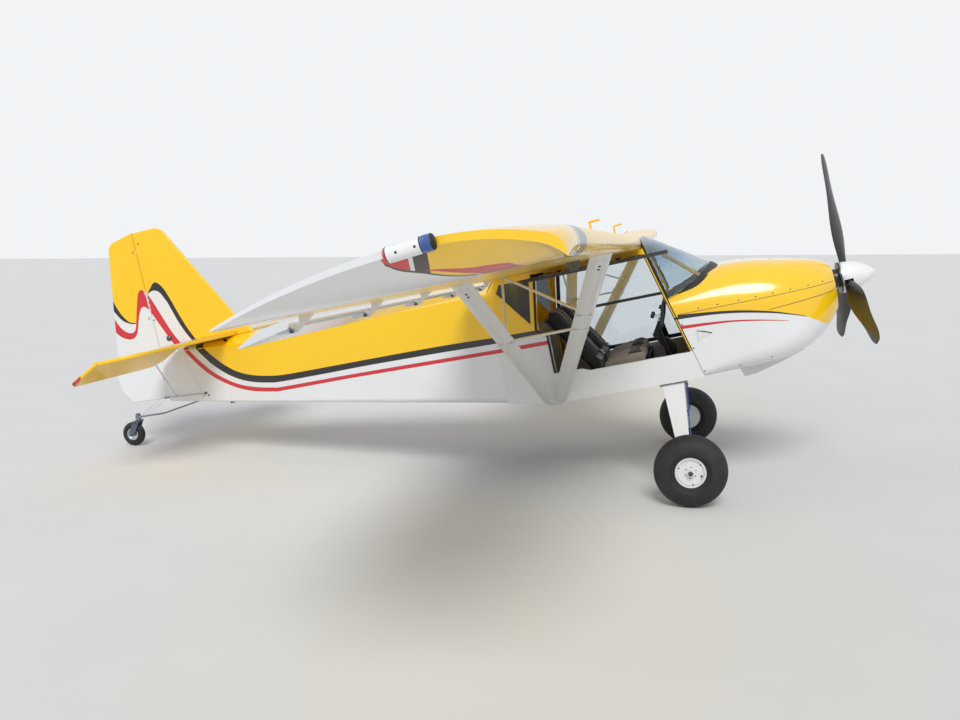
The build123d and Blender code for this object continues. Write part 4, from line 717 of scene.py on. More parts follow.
FIN_BLACK = (
    ((-4020, 1904), (-4008, 1918), (-3983, 1943), (-3957, 1970), (-3931, 1979), (-3904, 1963),
     (-3879, 1930), (-3858, 1888), (-3826, 1801), (-3799, 1715), (-3768, 1626), (-3732, 1536),
     (-3690, 1456)),
    ((-4020, 1900), (-4008, 1906), (-3982, 1915), (-3955, 1916), (-3925, 1903), (-3902, 1876),
     (-3884, 1839), (-3866, 1802), (-3840, 1723), (-3812, 1635), (-3776, 1548), (-3745, 1488),
     (-3725, 1456)),
)
FIN_RED = (
    ((-4082, 1948), (-4056, 1936), (-4033, 1912), (-4014, 1880), (-3992, 1828), (-3965, 1756),
     (-3938, 1684), (-3911, 1612), (-3880, 1540), (-3835, 1456)),
    ((-4100, 1820), (-4085, 1812), (-4065, 1794), (-4040, 1763), (-4018, 1722), (-3991, 1661),
     (-3964, 1600), (-3940, 1547), (-3918, 1500), (-3895, 1456)),
)
RUDDER_BLACK = (
    ((-4360, 1935), (-4333, 1854), (-4303, 1781), (-4263, 1724), (-4229, 1700), (-4190, 1692)),
    ((-4375, 1842), (-4340, 1781), (-4304, 1732), (-4256, 1701), (-4218, 1687), (-4190, 1686)),
)
RUDDER_RED = (
    ((-4385, 1790), (-4353, 1705), (-4313, 1648), (-4265, 1620), (-4225, 1624), (-4203, 1652),
     (-4186, 1700), (-4163, 1770), (-4144, 1825), (-4122, 1887), (-4100, 1930), (-4075, 1944),
     (-4044, 1930)),
    ((-4405, 1665), (-4364, 1614), (-4318, 1582), (-4271, 1569), (-4235, 1576), (-4206, 1602),
     (-4186, 1640), (-4166, 1693), (-4143, 1750), (-4115, 1794), (-4098, 1806), (-4072, 1802),
     (-4044, 1772)),
)
BAND_STEPS = 4
PAINT_PROUD = 0.0009
PAINT_LOW = 0.0002


def lay_band(target, lines, tree, side, count, look):
    """Lays a band between two lines on a body's side, as a film of paint."""
    flat = [[Vector((x / 1000, 0, z / 1000)) for x, z in line] for line in lines]
    top, bottom = [even_line(smooth_line(line), count) for line in flat]
    grid = {}
    for i in range(count):
        for j in range(BAND_STEPS + 1):
            point = top[i].lerp(bottom[i], j / BAND_STEPS)
            hit, normal = side_point(tree, point.x, point.z, side)
            if hit is not None and abs(normal.y) >= 0.12 and hit.y * side >= 0.002:
                grid[i, j] = [target.verts.new(hit + normal * lift) for lift in (PAINT_PROUD, PAINT_LOW)]

    def filled(i, j):
        return all((a, b) in grid for a in (i, i + 1) for b in (j, j + 1))

    for i in range(count):
        for j in range(BAND_STEPS):
            if not filled(i, j):
                continue
            corners = [grid[i, j], grid[i + 1, j], grid[i + 1, j + 1], grid[i, j + 1]]
            for layer in (0, 1):
                add_face(target, [c[layer] for c in corners], look)
            beside = (filled(i, j - 1), filled(i + 1, j), filled(i, j + 1), filled(i - 1, j))
            for hidden, a, b in zip(beside, corners, corners[1:] + corners[:1]):
                if not hidden:
                    add_face(target, (a[0], b[0], b[1], a[1]), look)
    loose = [v for v in target.verts if not v.link_faces]
    bmesh.ops.delete(target, geom=loose, context="VERTS")


def lay_stripes():
    cabin = " cabin_side_left cabin_side_right"
    for name, nodes, black, red, count in (
        ("body", "rear_fuselage" + cabin, BODY_BLACK, BODY_RED, 240),
        ("cowl", "cowl_upper cowl_lower" + cabin, COWL_BLACK, COWL_RED, 80),
        ("fin", "fin", FIN_BLACK, FIN_RED, 70),
        ("rudder", "rudder", RUDDER_BLACK, RUDDER_RED, 60),
    ):
        tree = level_tree(nodes)
        edit = bmesh.new()
        for side in (-1, 1):
            lay_band(edit, black, tree, side, count, 0)
            lay_band(edit, red, tree, side, count, 1)
        body = "rudder" if name == "rudder" else "airframe"
        make_piece(name + "_stripes", edit, "stripe_black stripe_red", body)


# Wheels

BRAKE_LINE = (  # on the left side, from the fuselage along the gear leg to the brake
    (0.066, 0.30, 0.492), (0.064, 0.45, 0.488), (0.060, 0.52, 0.430), (0.047, 0.63, 0.285),
    (0.034, 0.735, 0.145), (0.020, 0.775, 0.070), (-0.030, 0.785, 0.040),
)


def tyre_profile(radius, half_w, rim_r, grooves):
    """(distance from the middle, radius) around a balloon tyre's cross-section."""
    low = rim_r + 0.0006
    crown = radius - rim_r
    bead = ((0.70, 0.07), (0.66, 0.05), (0.60, 0.0))
    bead = [(share * half_w, low + rise * crown) for share, rise in bead]
    outline = [(-across, height) for across, height in reversed(bead)]
    steps = 40
    for step in range(steps + 1):
        angle = math.pi * (0.03 + 0.94 * step / steps)
        across = -math.cos(angle) * half_w * 0.995
        height = min(low + 0.10 * crown + math.sin(angle) ** 0.72 * (0.895 * crown), radius - 0.0006)
        tread = across / (0.62 * half_w)
        if grooves and abs(tread) < 1 and abs(math.sin(tread * math.pi * 2.5)) < 0.24:
            height -= 0.0035
        outline.append((across, height))
    return outline + bead


def build_wheels():
    for side, word in SIDES:
        body = "wheel_" + word
        out = (0, side, 0)
        edit = bmesh.new()
        profile = tyre_profile(TYRE_R, TYRE_HALF_W, RIM_R, True)
        add_ring(edit, profile, (0, side * TRACK_HALF, 0), 120)
        tyre = make_piece("balloon_tyre_" + word, edit, "tyre", body)
        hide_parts("main_tyre_" + word)

        edit = bmesh.new()
        face_y = side * (TRACK_HALF + 0.046)
        for count, ring_r, head_r in ((3, 0.078, 0.0055), (6, 0.036, 0.004)):
            head = ((0.0, head_r), (0.0032, head_r), (0.0042, head_r * 0.6))
            for c, s in circle(count, 0.25):
                add_turned(edit, head, (c * ring_r, face_y, s * ring_r), out, 6)
        valve = ((0.0, 0.005), (0.016, 0.005), (0.018, 0.0035), (0.026, 0.0035))
        add_turned(edit, valve, (0.060, face_y, -0.030), (0.25, side, -0.1), 10, 1)
        make_piece("wheel_screws_" + word, edit, "dark_metal seal", body)

        edit = bmesh.new()
        disc = ((0.0, 0.052), (0.0, 0.079), (0.005, 0.079), (0.005, 0.052))
        add_turned(edit, disc, (0, side * (TRACK_HALF - 0.060), 0), (0, -side, 0), 48)
        make_piece("brake_disc_" + word, edit, "metal", body)

        edit = bmesh.new()
        add_block(edit, (-0.063, side * (TRACK_HALF - 0.0855), 0.034), (0.023, 0.0145, 0.024), 0.006)
        line = smooth_line([(x, side * y, z) for x, y, z in BRAKE_LINE], 0.02)
        add_tube(edit, line, 0.0042, 8, 1)
        for share in (0.3, 0.55, 0.8):
            add_block(edit, line[int(len(line) * share)], (0.006, 0.006, 0.006))
        make_piece("brake_line_" + word, edit, "dark_metal blue_line")

        edit = bmesh.new()
        nut = (
            (-0.006, 0.017), (0.002, 0.017), (0.004, 0.014), (0.010, 0.013), (0.011, 0.006),
            (0.006, 0.005),
        )
        add_turned(edit, nut, (0, side * (TRACK_HALF + 0.076), 0), out, 6)
        make_piece("axle_nut_" + word, edit, "dark_metal")

    edit = bmesh.new()
    add_ring(edit, tyre_profile(TAIL_TYRE_R, TAIL_TYRE_HALF_W, TAIL_RIM_R, False), TAIL_WHEEL, 72)
    tyre = make_piece("solid_tail_tyre", edit, "tyre", "tail_wheel")
    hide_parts("tail_tyre")


# Fittings

COWL_SCREWS = (
    (0.236, 0.972), (0.360, 0.972), (0.496, 0.972), (0.606, 0.972), (0.715, 0.972), (0.830, 0.972),
    (0.948, 0.972), (1.050, 0.972), (0.159, 0.716), (0.201, 0.551), (0.434, 0.541), (0.112, 0.885),
    (0.640, 0.560),
)
VENT_CORNERS = ((0.199, 0.824), (0.291, 0.793), (0.198, 0.750))
VENT_LIFTS = (0.010, 0.001, 0.002)


def build_cowl_fittings():
    tree = level_tree("cowl_upper cowl_lower cabin_side_left cabin_side_right")
    edit = bmesh.new()
    for side in (-1, 1):
        for x, z in COWL_SCREWS:
            add_stud(edit, *side_point(tree, x, z, side), 0.0052)
    for x in (0.60, 0.78, 0.95):
        for y in (-0.10, 0.10):
            add_stud(edit, *top_point(tree, x, y), 0.0045)
    make_piece("cowl_fasteners", edit, "dark_metal")

    edit = bmesh.new()
    for side in (-1, 1):
        split = [(0.100 + 0.0128 * step, COWL_SPLIT_Z - 0.001) for step in range(81)]
        add_strip(edit, *on_body(side_point, tree, split, side), 0.0030, 0.0020)
        # Painted shade: the strip along the moulded crease stands for the shadow under its step, not a
        # joint.
        crease = [(0.674 + 0.0108 * step, 0.871 + 0.0006 * step) for step in range(41)]
        add_strip(edit, *on_body(side_point, tree, crease, side), 0.0036, 0.0016)
    make_piece("cowl_joint_and_crease_shade_lines", edit, "joint_line")

    edit = bmesh.new()
    for side in (-1, 1):
        # Painted shade: a dark rubber strip along each vent's top edge stands for the shadow inside the
        # recess under its rim.
        lip = ((0.199, 0.824), (0.245, 0.812), (0.291, 0.793))
        add_strip(edit, *on_body(side_point, tree, lip, side), 0.0075, 0.0035, 1)
        middle, _ = side_point(tree, 0.232, 0.790, side)
        corners, normals = on_body(side_point, tree, VENT_CORNERS, side)
        low = [c + n * 0.0006 for c, n in zip(corners, normals)]
        high = [c * 0.94 + middle * 0.06 + n * lift for c, n, lift in zip(corners, normals, VENT_LIFTS)]
        skin(edit, [[edit.verts.new(spot) for spot in ring] for ring in (low, high)])
    make_piece("cowl_side_vents", edit, "spinner seal")


FOOT_CURVE = (  # the windshield's foot from its right end to the middle
    (0.069, -0.457, 1.078), (0.168, -0.449, 1.092), (0.262, -0.425, 1.118), (0.342, -0.338, 1.172),
    (0.390, -0.200, 1.200), (0.412, 0.000, 1.211),
)
CHANNEL_STEPS = 6
CHANNEL_W = 0.046
CHANNEL_RISE = 0.028
DOOR_REAR = (  # (x, z) up the door opening's rear edge
    (-0.774, 0.718), (-0.776, 0.80), (-0.776, 0.90), (-0.777, 0.983), (-0.842, 1.030), (-0.846, 1.04),
    (-0.826, 1.16), (-0.806, 1.28), (-0.788, 1.385),
)


def build_glass_edging():
    """Black rubber channel around the windshield, wide where it lies on the cowl, and the doors' seals."""
    tree = level_tree("cowl_upper windshield")
    outer = [Vector((x + 0.010, y, z + 0.004)) for x, y, z in FOOT_CURVE]
    outer += [Vector((p.x, -p.y, p.z)) for p in reversed(outer[:-1])]
    centre = Vector((-0.10, 0.0, 1.05))
    rows = []
    for point in even_line(smooth_line(outer, 0.02), 90):
        pull = centre - point
        pull.z = 0.0
        pull.normalize()
        row = []
        for step in range(CHANNEL_STEPS + 1):
            share = step / CHANNEL_STEPS
            spot = point + pull * CHANNEL_W * share + Vector((0, 0, CHANNEL_RISE * share))
            near, normal, _, _ = tree.find_nearest(spot)
            row.append([near, -normal if normal.dot(near - centre) < 0 else normal])
        rows.append(row)
    for _ in range(6):
        for step in range(CHANNEL_STEPS + 1):
            for item in (0, 1):
                line = [row[step][item] for row in rows]
                for index in range(1, len(line) - 1):
                    rows[index][step][item] = (line[index - 1] + 2 * line[index] + line[index + 1]) / 4
    edit = bmesh.new()
    sheets = []
    for row in rows:
        outside, inside = [], []
        for step, (place, normal) in enumerate(row):
            normal = normal.normalized()
            crown = 0.0022 + 0.0030 * math.sin(math.pi * step / CHANNEL_STEPS)
            outside.append(edit.verts.new(place + normal * crown))
            inside.append(edit.verts.new(place - normal * 0.003))
        sheets.append((outside, inside))
    skin(edit, [outside + inside[::-1] for outside, inside in sheets], ends=False)
    for outside, inside in (sheets[0], sheets[-1]):
        for corners in zip(outside, outside[1:], inside[1:], inside):
            add_face(edit, corners)
    for side in (-1, 1):
        heights = (1.085, 1.16, 1.24, 1.33, 1.42, 1.485)
        post = [Vector((post_x(z) + 0.004, side * 0.490, z)) for z in heights]
        add_tube(edit, smooth_line(post, 0.03), 0.0075, 8)
    make_piece("windshield_edging", edit, "seal")

    edit = bmesh.new()
    for side in (-1, 1):
        y = side * 0.501
        post = [(post_x(z), z) for z in (0.700, 0.85, 1.0, 1.070)]
        post += [(0.053 - 0.265 * (z - 1.070), z) for z in (1.16, 1.28, 1.390)]
        for back in (0.0035, 0.0175):
            add_tube(edit, [Vector((x - back, y, z)) for x, z in post], 0.0032, 6)
        rear = [Vector((x - 0.0105, y, z)) for x, z in DOOR_REAR]
        add_strip(edit, rear, (0, side, 0), 0.016, 0.006)
        add_tube(edit, [Vector((x, y, 1.3985)) for x in (-0.775, -0.72, -0.67)], 0.004, 6)
    make_piece("door_opening_seals", edit, "seal")


FRONT_STRUT = (-0.800, -0.160)  # x at its foot and at its head
REAR_STRUT = (-0.845, -0.850)
STRUT_HALF_T = 0.0178


def build_struts():
    """End fittings of the lift struts, with their bolts."""
    edit = bmesh.new()

    def axes(side, x_foot, x_head):
        """A strut's foot and head, the way along it and the upward way square to it."""
        foot = Vector((x_foot, side * BODY_HALF_W, 0.520))
        head = Vector((x_head, side * STRUT_HEAD_Y, wing_under(STRUT_HEAD_Y)))
        along = (head - foot).normalized()
        up = Vector((1, 0, 0)).cross(along).normalized()
        return foot, head, along, up if up.z > 0 else -up

    def wrap(line, up, proud, width, thick):
        """A strip on the upper and on the lower face of a strut."""
        for way in (up, -up):
            add_strip(edit, [p + way * (STRUT_HALF_T + proud) for p in line], way, width, thick)

    for side in (-1, 1):
        for strut in (FRONT_STRUT, REAR_STRUT):
            _, head, along, up = axes(side, *strut)
            for way in (-up, up):
                for back in (0.075, 0.110):
                    add_stud(edit, head - along * back + way * 0.0185, way, 0.0075, 0.005, 1, 6)
            wrap([head - along * back for back in (0.018, 0.05, 0.085, 0.118)], up, 0.0, 0.050, 0.0022)
        foot = Vector((-0.822, side * 0.503, 0.523))
        outline = ((-0.062, 0.045), (-0.052, -0.008), (0.052, -0.008), (0.066, 0.045))
        plate = [[foot + Vector((x, side * y, z)) for x, z in outline] for y in (-0.0018, 0.0038)]
        skin(edit, [[edit.verts.new(spot) for spot in ring] for ring in plate])
        for x in (-0.038, 0.040):
            spot = foot + Vector((x, side * 0.0042, 0.022))
            add_stud(edit, spot, (0, side, 0), 0.008, 0.005, 1, 6)
        for strut, share in ((FRONT_STRUT, 0.6), (REAR_STRUT, 0.6), (FRONT_STRUT, 0.69)):
            foot, head, along, up = axes(side, *strut)
            middle = foot.lerp(head, share)
            wrap([middle + along * step for step in (-0.016, 0.0, 0.016)], up, 0.001, 0.092, 0.0018)
    make_piece("strut_fittings", edit, "strut_paint dark_metal")


POD_REAR_X = -0.520
POD_FRONT_X = -0.378
POD_R = 0.0225
POD_END = 0.142
POD_BANDS = (  # start and end along the pod, look: 0 red, 1 white, 2 black, 3 lens
    (0.000, 0.010, 0), (0.010, 0.012, 2), (0.012, 0.104, 1), (0.104, 0.106, 2), (0.106, 0.1335, 3),
    (0.1335, POD_END, 2),
)
POD_PROUD = (0.0, 0.0, 0.0004, 0.0002)


def build_tip_lights():
    """Position light pods: a white half-round body with a red tail, a lens and its rubber rim."""
    for side, word, lens in ((-1, "right", "blue_lens"), (1, "left", "red_lens")):
        y = side * (WING_END_Y + 0.012)
        z = wing_under(WING_END_Y) + 0.82 * WING_T
        rear = Vector((POD_REAR_X, y, z - 0.004))
        along = (Vector((POD_FRONT_X, y, z + 0.006)) - rear).normalized()
        edit = bmesh.new()
        for start, end, look in POD_BANDS:
            profile = []
            for step in range(5):
                place = start + (end - start) * step / 4
                radius = POD_R
                for reach, limit in ((place, 0.014), (POD_END - place, 0.010)):
                    if reach < limit:
                        round_end = 0.55 + 0.45 * math.sqrt(1 - (1 - reach / limit) ** 2)
                        radius = min(radius, POD_R * round_end)
                swell = 0.0012 * math.sin(math.pi * step / 4) if look == 3 else 0.0
                profile.append((place, radius + POD_PROUD[look] + swell))
            add_turned(edit, profile, rear, along, 40, look)
        bmesh.ops.bisect_plane(
            edit, geom=edit.verts[:] + edit.edges[:] + edit.faces[:],
            plane_co=(0, side * (WING_END_Y + 0.0008), 0), plane_no=(0, side, 0), clear_inner=True,
        )
        bmesh.ops.holes_fill(edit, edges=edit.edges[:])
        for place in (0.040, 0.092):
            spot = rear + along * place + Vector((0, side * (POD_R - 0.0002), 0))
            add_stud(edit, spot, (0, side, 0), 0.0035, look=2)
        pod = make_piece("light_pod_" + word, edit, "stripe_red spinner seal " + lens)
        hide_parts("light_pods")


KING_PIN = Vector((-4.395, 0, 0.925))
SPRING_STEPS = 90
SPRING_TURNS = 22


def build_tail_fittings():
    """Hinge screws, cables to the control horn, brace fittings and the tail wheel's springs."""
    tree = level_tree("rear_fuselage fin")
    edit = bmesh.new()
    for side in (-1, 1):
        for x, z in ((-3.995, 2.309), (-4.020, 1.682)):
            add_stud(edit, *side_point(tree, x, z, side), 0.006, 0.003)
        boss = ((-0.001, 0.022), (0.006, 0.022), (0.012, 0.017), (0.016, 0.008))
        add_turned(edit, boss, *side_point(tree, -3.927, 1.512, side), 20)
        for x, z in ((-3.70, 1.020), (-3.64, 1.000)):
            add_stud(edit, *side_point(tree, x, z, side), 0.008, 0.004)
    make_piece("tail_screws", edit, "dark_metal")

    edit = bmesh.new()
    for side in (-1, 1):
        hit, normal = side_point(tree, -3.660, 1.010, side)
        horn = Vector((RUDDER_HINGE_X - 0.030, side * 0.062, 1.0425))
        start = hit + Vector((0, side * 0.004, 0.012))
        add_tube(edit, [start, start.lerp(horn, 0.5), horn + Vector((0.012, 0, 0.006))], 0.0018, 6)
        for share in (0.86, 0.93):
            point = start.lerp(horn, share)
            add_tube(edit, [point, point.lerp(horn, 0.3)], 0.0042, 8)
        add_turned(edit, ((-0.002, 0.010), (0.004, 0.010), (0.006, 0.006)), start, normal, 12)
    cables = make_piece("rudder_cables", edit, "dark_metal", None)
    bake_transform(cables)

    edit = bmesh.new()
    for side in (-1, 1):
        slot = [(-3.420 + 0.012 * step, 1.417 - 0.006 * step) for step in range(5)]
        add_strip(edit, *on_body(side_point, tree, slot, side), 0.020, 0.0012)
    make_piece("fin_root_slots", edit, "seal")

    edit = bmesh.new()
    up = Vector((math.sin(NOSE_UP), 0, math.cos(NOSE_UP)))
    for side in (-1, 1):
        start = KING_PIN - up * 0.029 + Vector((-0.010, side * 0.062, 0))
        end = Vector((RUDDER_HINGE_X - 0.036, side * 0.064, 1.0490))
        coil = []
        for step in range(SPRING_STEPS + 1):
            share = step / SPRING_STEPS
            size = 0.0065 if 0.30 < share < 0.70 else 0.0004
            angle = share * math.pi * 2 * SPRING_TURNS
            around = Vector((0, math.cos(angle) * size, 0)) + up * math.sin(angle) * size
            coil.append(start.lerp(end, share) + around)
        add_tube(edit, coil, 0.0011, 5)
    make_piece("steering_springs", edit, "metal")


# Seats and harness

CUSHION_SIDE = ((-0.162, 0.680), (-0.162, 0.737), (-0.212, 0.751), (-0.462, 0.709), (-0.462, 0.653))
BACK_SIDE = (
    (-0.496, 0.655), (-0.476, 0.660), (-0.479, 0.740), (-0.729, 1.132), (-0.765, 1.143), (-0.773, 1.083),
)
SEAT_INNER_Y = 0.024
SEAT_OUTER_Y = 0.430
SEAT_MIDDLE_Y = (SEAT_INNER_Y + SEAT_OUTER_Y) / 2
ROLL_SEAM_X = -0.285
PAD_CAP = 0.012  # how far the padding may push its cover out
PAD_VOXEL = 0.010
PAD_FRAMES = 20
STRAP_W = 0.045
STRAP_T = 0.0026


def padded(outline, side):
    """Voxel meshes a slab with an (x, z) outline and blows it up as cloth over foam, up to PAD_CAP."""
    scene = bpy.context.scene
    low, high = sorted((side * SEAT_INNER_Y, side * SEAT_OUTER_Y))
    edit = bmesh.new()
    skin(edit, [[edit.verts.new((x, y, z)) for x, z in outline] for y in (low, high)])
    bmesh.ops.recalc_face_normals(edit, faces=edit.faces)
    mesh = bpy.data.meshes.new("pad_form")
    edit.to_mesh(mesh)
    edit.free()
    form = bpy.data.objects.new("pad_form", mesh)
    scene.collection.objects.link(form)

    def take():
        graph = bpy.context.evaluated_depsgraph_get()
        graph.update()
        return bpy.data.meshes.new_from_object(form.evaluated_get(graph))

    remesh = form.modifiers.new("voxels", "REMESH")
    remesh.mode = "VOXEL"
    remesh.voxel_size = PAD_VOXEL
    smooth = form.modifiers.new("rounding", "SMOOTH")
    smooth.factor = 0.5
    smooth.iterations = 3
    rounded = take()
    form.modifiers.clear()
    form.data = rounded
    start = [v.co.copy() for v in rounded.vertices]
    cloth = form.modifiers.new("cover", "CLOTH")
    cloth.settings.use_pressure = True
    cloth.settings.uniform_pressure_force = 4.0
    cloth.settings.effector_weights.gravity = 0.0
    cloth.point_cache.frame_start = 1
    cloth.point_cache.frame_end = PAD_FRAMES
    for moment in range(1, PAD_FRAMES + 1):
        scene.frame_set(moment)
    blown = take()
    form.modifiers.clear()
    for vertex, before, after in zip(rounded.vertices, start, blown.vertices):
        move = after.co - before
        if move.length > PAD_CAP:
            move *= PAD_CAP / move.length
        vertex.co = before + move
    bpy.data.meshes.remove(blown)
    scene.frame_set(1)
    form.modifiers.new("finer", "SUBSURF").levels = 1
    result = take()
    made = bmesh.new()
    made.from_mesh(result)
    bpy.data.meshes.remove(result)
    bpy.data.objects.remove(form)
    return made


def sew(edit, distance, depth, width, where):
    """Pulls the cover in along a seam. distance gives how far a vertex lies from the seam's line."""
    edit.normal_update()
    moves = []
    for vert in edit.verts:
        away = distance(vert.co) / width
        if where(vert.co, vert.normal) and abs(away) < 3:
            moves.append((vert, vert.normal * depth * math.exp(-away * away)))
    for vert, move in moves:
        vert.co -= move


def draft_of(edit):
    mesh = bpy.data.meshes.new("draft")
    edit.to_mesh(mesh)
    return mesh


def join_into(target, source):
    mesh = draft_of(source)
    source.free()
    target.from_mesh(mesh)
    bpy.data.meshes.remove(mesh)


def build_seats():
    """Two padded seats: grey cushions with a black roll in front, black backs with sewn channels."""
    cushions, backs = bmesh.new(), bmesh.new()
    for side in (-1, 1):
        middle = side * SEAT_MIDDLE_Y
        made = padded(CUSHION_SIDE, side)
        sew(
            made, lambda p: p.x - ROLL_SEAM_X, 0.007, 0.006,
            lambda p, n: n.z > 0.3 and abs(p.y - middle) < 0.19,
        )
        for seam in (-0.115, 0.115):
            sew(made, lambda p: p.y - middle - seam, 0.006, 0.006, lambda p, n: n.z > 0.3)
        sew(
            made, lambda p: p.z - (0.716 + 0.168 * (p.x + 0.46)) - 0.006, 0.005, 0.005,
            lambda p, n: abs(n.y) > 0.5,
        )
        for face in made.faces:
            spot = face.calc_center_median()
            roll = spot.x > ROLL_SEAM_X and spot.z > 0.742 + 0.01 * math.sin(spot.y * 9) ** 2
            face.material_index = 1 if roll else 0
        join_into(cushions, made)

        made = padded(BACK_SIDE, side)
        for height in (0.83, 0.93, 1.03):
            sew(
                made, lambda p: p.z - height, 0.007, 0.006,
                lambda p, n: n.x > 0.3 and abs(p.y - middle) < 0.125,
            )
        for seam in (-0.125, 0.125):
            sew(made, lambda p: p.y - middle - seam, 0.007, 0.006, lambda p, n: n.x > 0.3)
        join_into(backs, made)

    drafts = [draft_of(backs), draft_of(cushions)]
    tree = tree_of(drafts, Matrix.Identity(4))
    for mesh in drafts:
        bpy.data.meshes.remove(mesh)

    def rest_on(points, lift=0.0030):
        """Carries points onto the covers from in front, a strap's thickness proud."""
        way = Vector((-0.78, 0, -0.62))
        hits = [tree.ray_cast(Vector(point) - way * 0.5, way)[0] for point in points]
        return [Vector(point) if hit is None else hit - way * lift for hit, point in zip(hits, points)]

    straps = bmesh.new()
    for side in (-1, 1):
        middle = side * SEAT_MIDDLE_Y
        for shift in (-0.075, 0.075):
            shares = [step / 24 for step in range(25)]
            line = rest_on(
                [(-0.70 + 0.20 * t, middle + shift * (1 - t * t), 1.150 - 0.375 * t) for t in shares]
            )
            behind = ((-0.085, 0, -0.055), (-0.060, 0, -0.004), (-0.024, 0, 0.012))
            line = [line[0] + Vector(step) for step in behind] + line
            for _ in range(2):
                inner = [(a + 2 * b + c) / 4 for a, b, c in zip(line, line[1:], line[2:])]
                line = [line[0]] + inner + [line[-1]]
            add_strip(straps, line, (0.8, 0, 0.6), STRAP_W, STRAP_T)
            turn = (line[13] - line[11]).normalized().to_track_quat("Z", "Y").to_matrix().to_4x4()
            add_block(straps, line[12], (0.026, 0.004, 0.016), 0.002, 1, turn)
        for way in (-1, 1):
            shares = [step / 14 for step in range(15)]
            lap = [
                (-0.452 - 0.030 * (1 - t), middle + way * 0.185 * (1 - t), 0.755 + 0.030 * t) for t in shares
            ]
            add_strip(straps, rest_on(lap), (0.7, 0, 0.7), STRAP_W, STRAP_T)
        spot = rest_on([(-0.470, middle, 0.775)], 0.010)[0]
        turn = Matrix.Rotation(math.radians(-42), 4, "Y")
        add_block(straps, spot, (0.009, 0.034, 0.026), 0.005, 1, turn)
        add_block(straps, spot + Vector((0.0085, 0, 0.008)), (0.0045, 0.012, 0.008), 0.002, 2, turn)

    for name, edit, looks, node, fill in (
        ("padded_seat_cushions", cushions, "seat_grey seat_black", "seat_cushions", 0.7),
        ("padded_seat_backs", backs, "seat_black", "seat_backs", 0.6),
    ):
        piece = make_piece(name, edit, looks)
        piece.data.set_sharp_from_angle(angle=math.radians(180))
        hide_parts(node)
    make_piece("harness_straps", straps, "strap dark_metal stripe_red")


# Cabin details

DIALS = (  # y, z and radius
    (0.13, 1.000, 0.034), (0.215, 1.000, 0.040), (0.310, 1.000, 0.040), (0.395, 0.990, 0.030),
    (0.150, 0.925, 0.024), (0.230, 0.922, 0.024), (0.310, 0.922, 0.024), (-0.14, 1.000, 0.029),
    (-0.215, 1.000, 0.029), (-0.290, 0.998, 0.029), (-0.362, 0.990, 0.026),
)


def build_instruments():
    """Round instruments, a radio, switches and knobs on the rear of the instrument panel."""
    lean = Vector((-1.0, 0, 0.34)).normalized()
    across = Vector((0, 1, 0))
    up = across.cross(lean).normalized()

    def on_panel(y, z):
        return Vector((-0.034 + (z - 0.897) * 0.34, y, z))

    edit = bmesh.new()
    for index, (y, z, r) in enumerate(DIALS):
        at = on_panel(y, z)
        bezel = ((0.0, r), (0.006, r), (0.008, r * 0.94), (0.008, r * 0.86), (0.0035, r * 0.84))
        add_turned(edit, bezel, at, lean)
        add_turned(edit, ((0.0035, r * 0.85), (0.0040, r * 0.83)), at, lean, look=1)
        for c, s in circle(12):
            out = across * c + up * s
            start = at + lean * 0.0043 + out * r * 0.62
            add_tube(edit, [start, start + out * r * 0.16], 0.0007, 4, 2)
        angle = 0.9 + index * 0.7
        out = (across * math.cos(angle) + up * math.sin(angle)) * r
        middle = at + lean * 0.0048
        add_tube(edit, [middle - out * 0.12, middle + out * 0.66], 0.0010, 5, 2)
        add_turned(edit, ((0.004, r * 0.10), (0.0062, r * 0.09)), at, lean, 12)
    make_piece("instruments", edit, "plastic_black dial_face dial_mark")

    edit = bmesh.new()
    at = on_panel(0.0, 0.985) + lean * 0.006
    turn = Matrix.Rotation(math.radians(18.8), 4, "Y")
    add_block(edit, at + Vector((-0.002, 0, 0)), (0.006, 0.080, 0.022), 0.003, 0, turn)
    for y in (-0.064, 0.064):
        knob = ((0.0, 0.010), (0.014, 0.009), (0.016, 0.006))
        add_turned(edit, knob, at + Vector((0, y, 0)) + lean * 0.006, lean, 16)
    for step in range(5):
        spot = on_panel(-0.150 - step * 0.040, 0.918)
        add_turned(edit, ((0.0, 0.008), (0.003, 0.008), (0.004, 0.005)), spot, lean, 10, 1)
        add_tube(edit, [spot, spot + lean * 0.018 + Vector((0, 0, 0.004))], 0.0025, 8, 1)
    for y in (-0.10, 0.075):
        spot = on_panel(y, 0.925)
        add_tube(edit, [spot, spot + lean * 0.052], 0.005, 10, 1)
        add_turned(edit, ((0.050, 0.010), (0.056, 0.017), (0.070, 0.017), (0.076, 0.010)), spot, lean, 20)
    for y in (-0.43, -0.05, 0.43, 0.05):
        for z in (0.905, 1.03):
            add_stud(edit, on_panel(y, z), lean, 0.0045, look=1)
    make_piece("radio_and_switches", edit, "plastic_black metal")


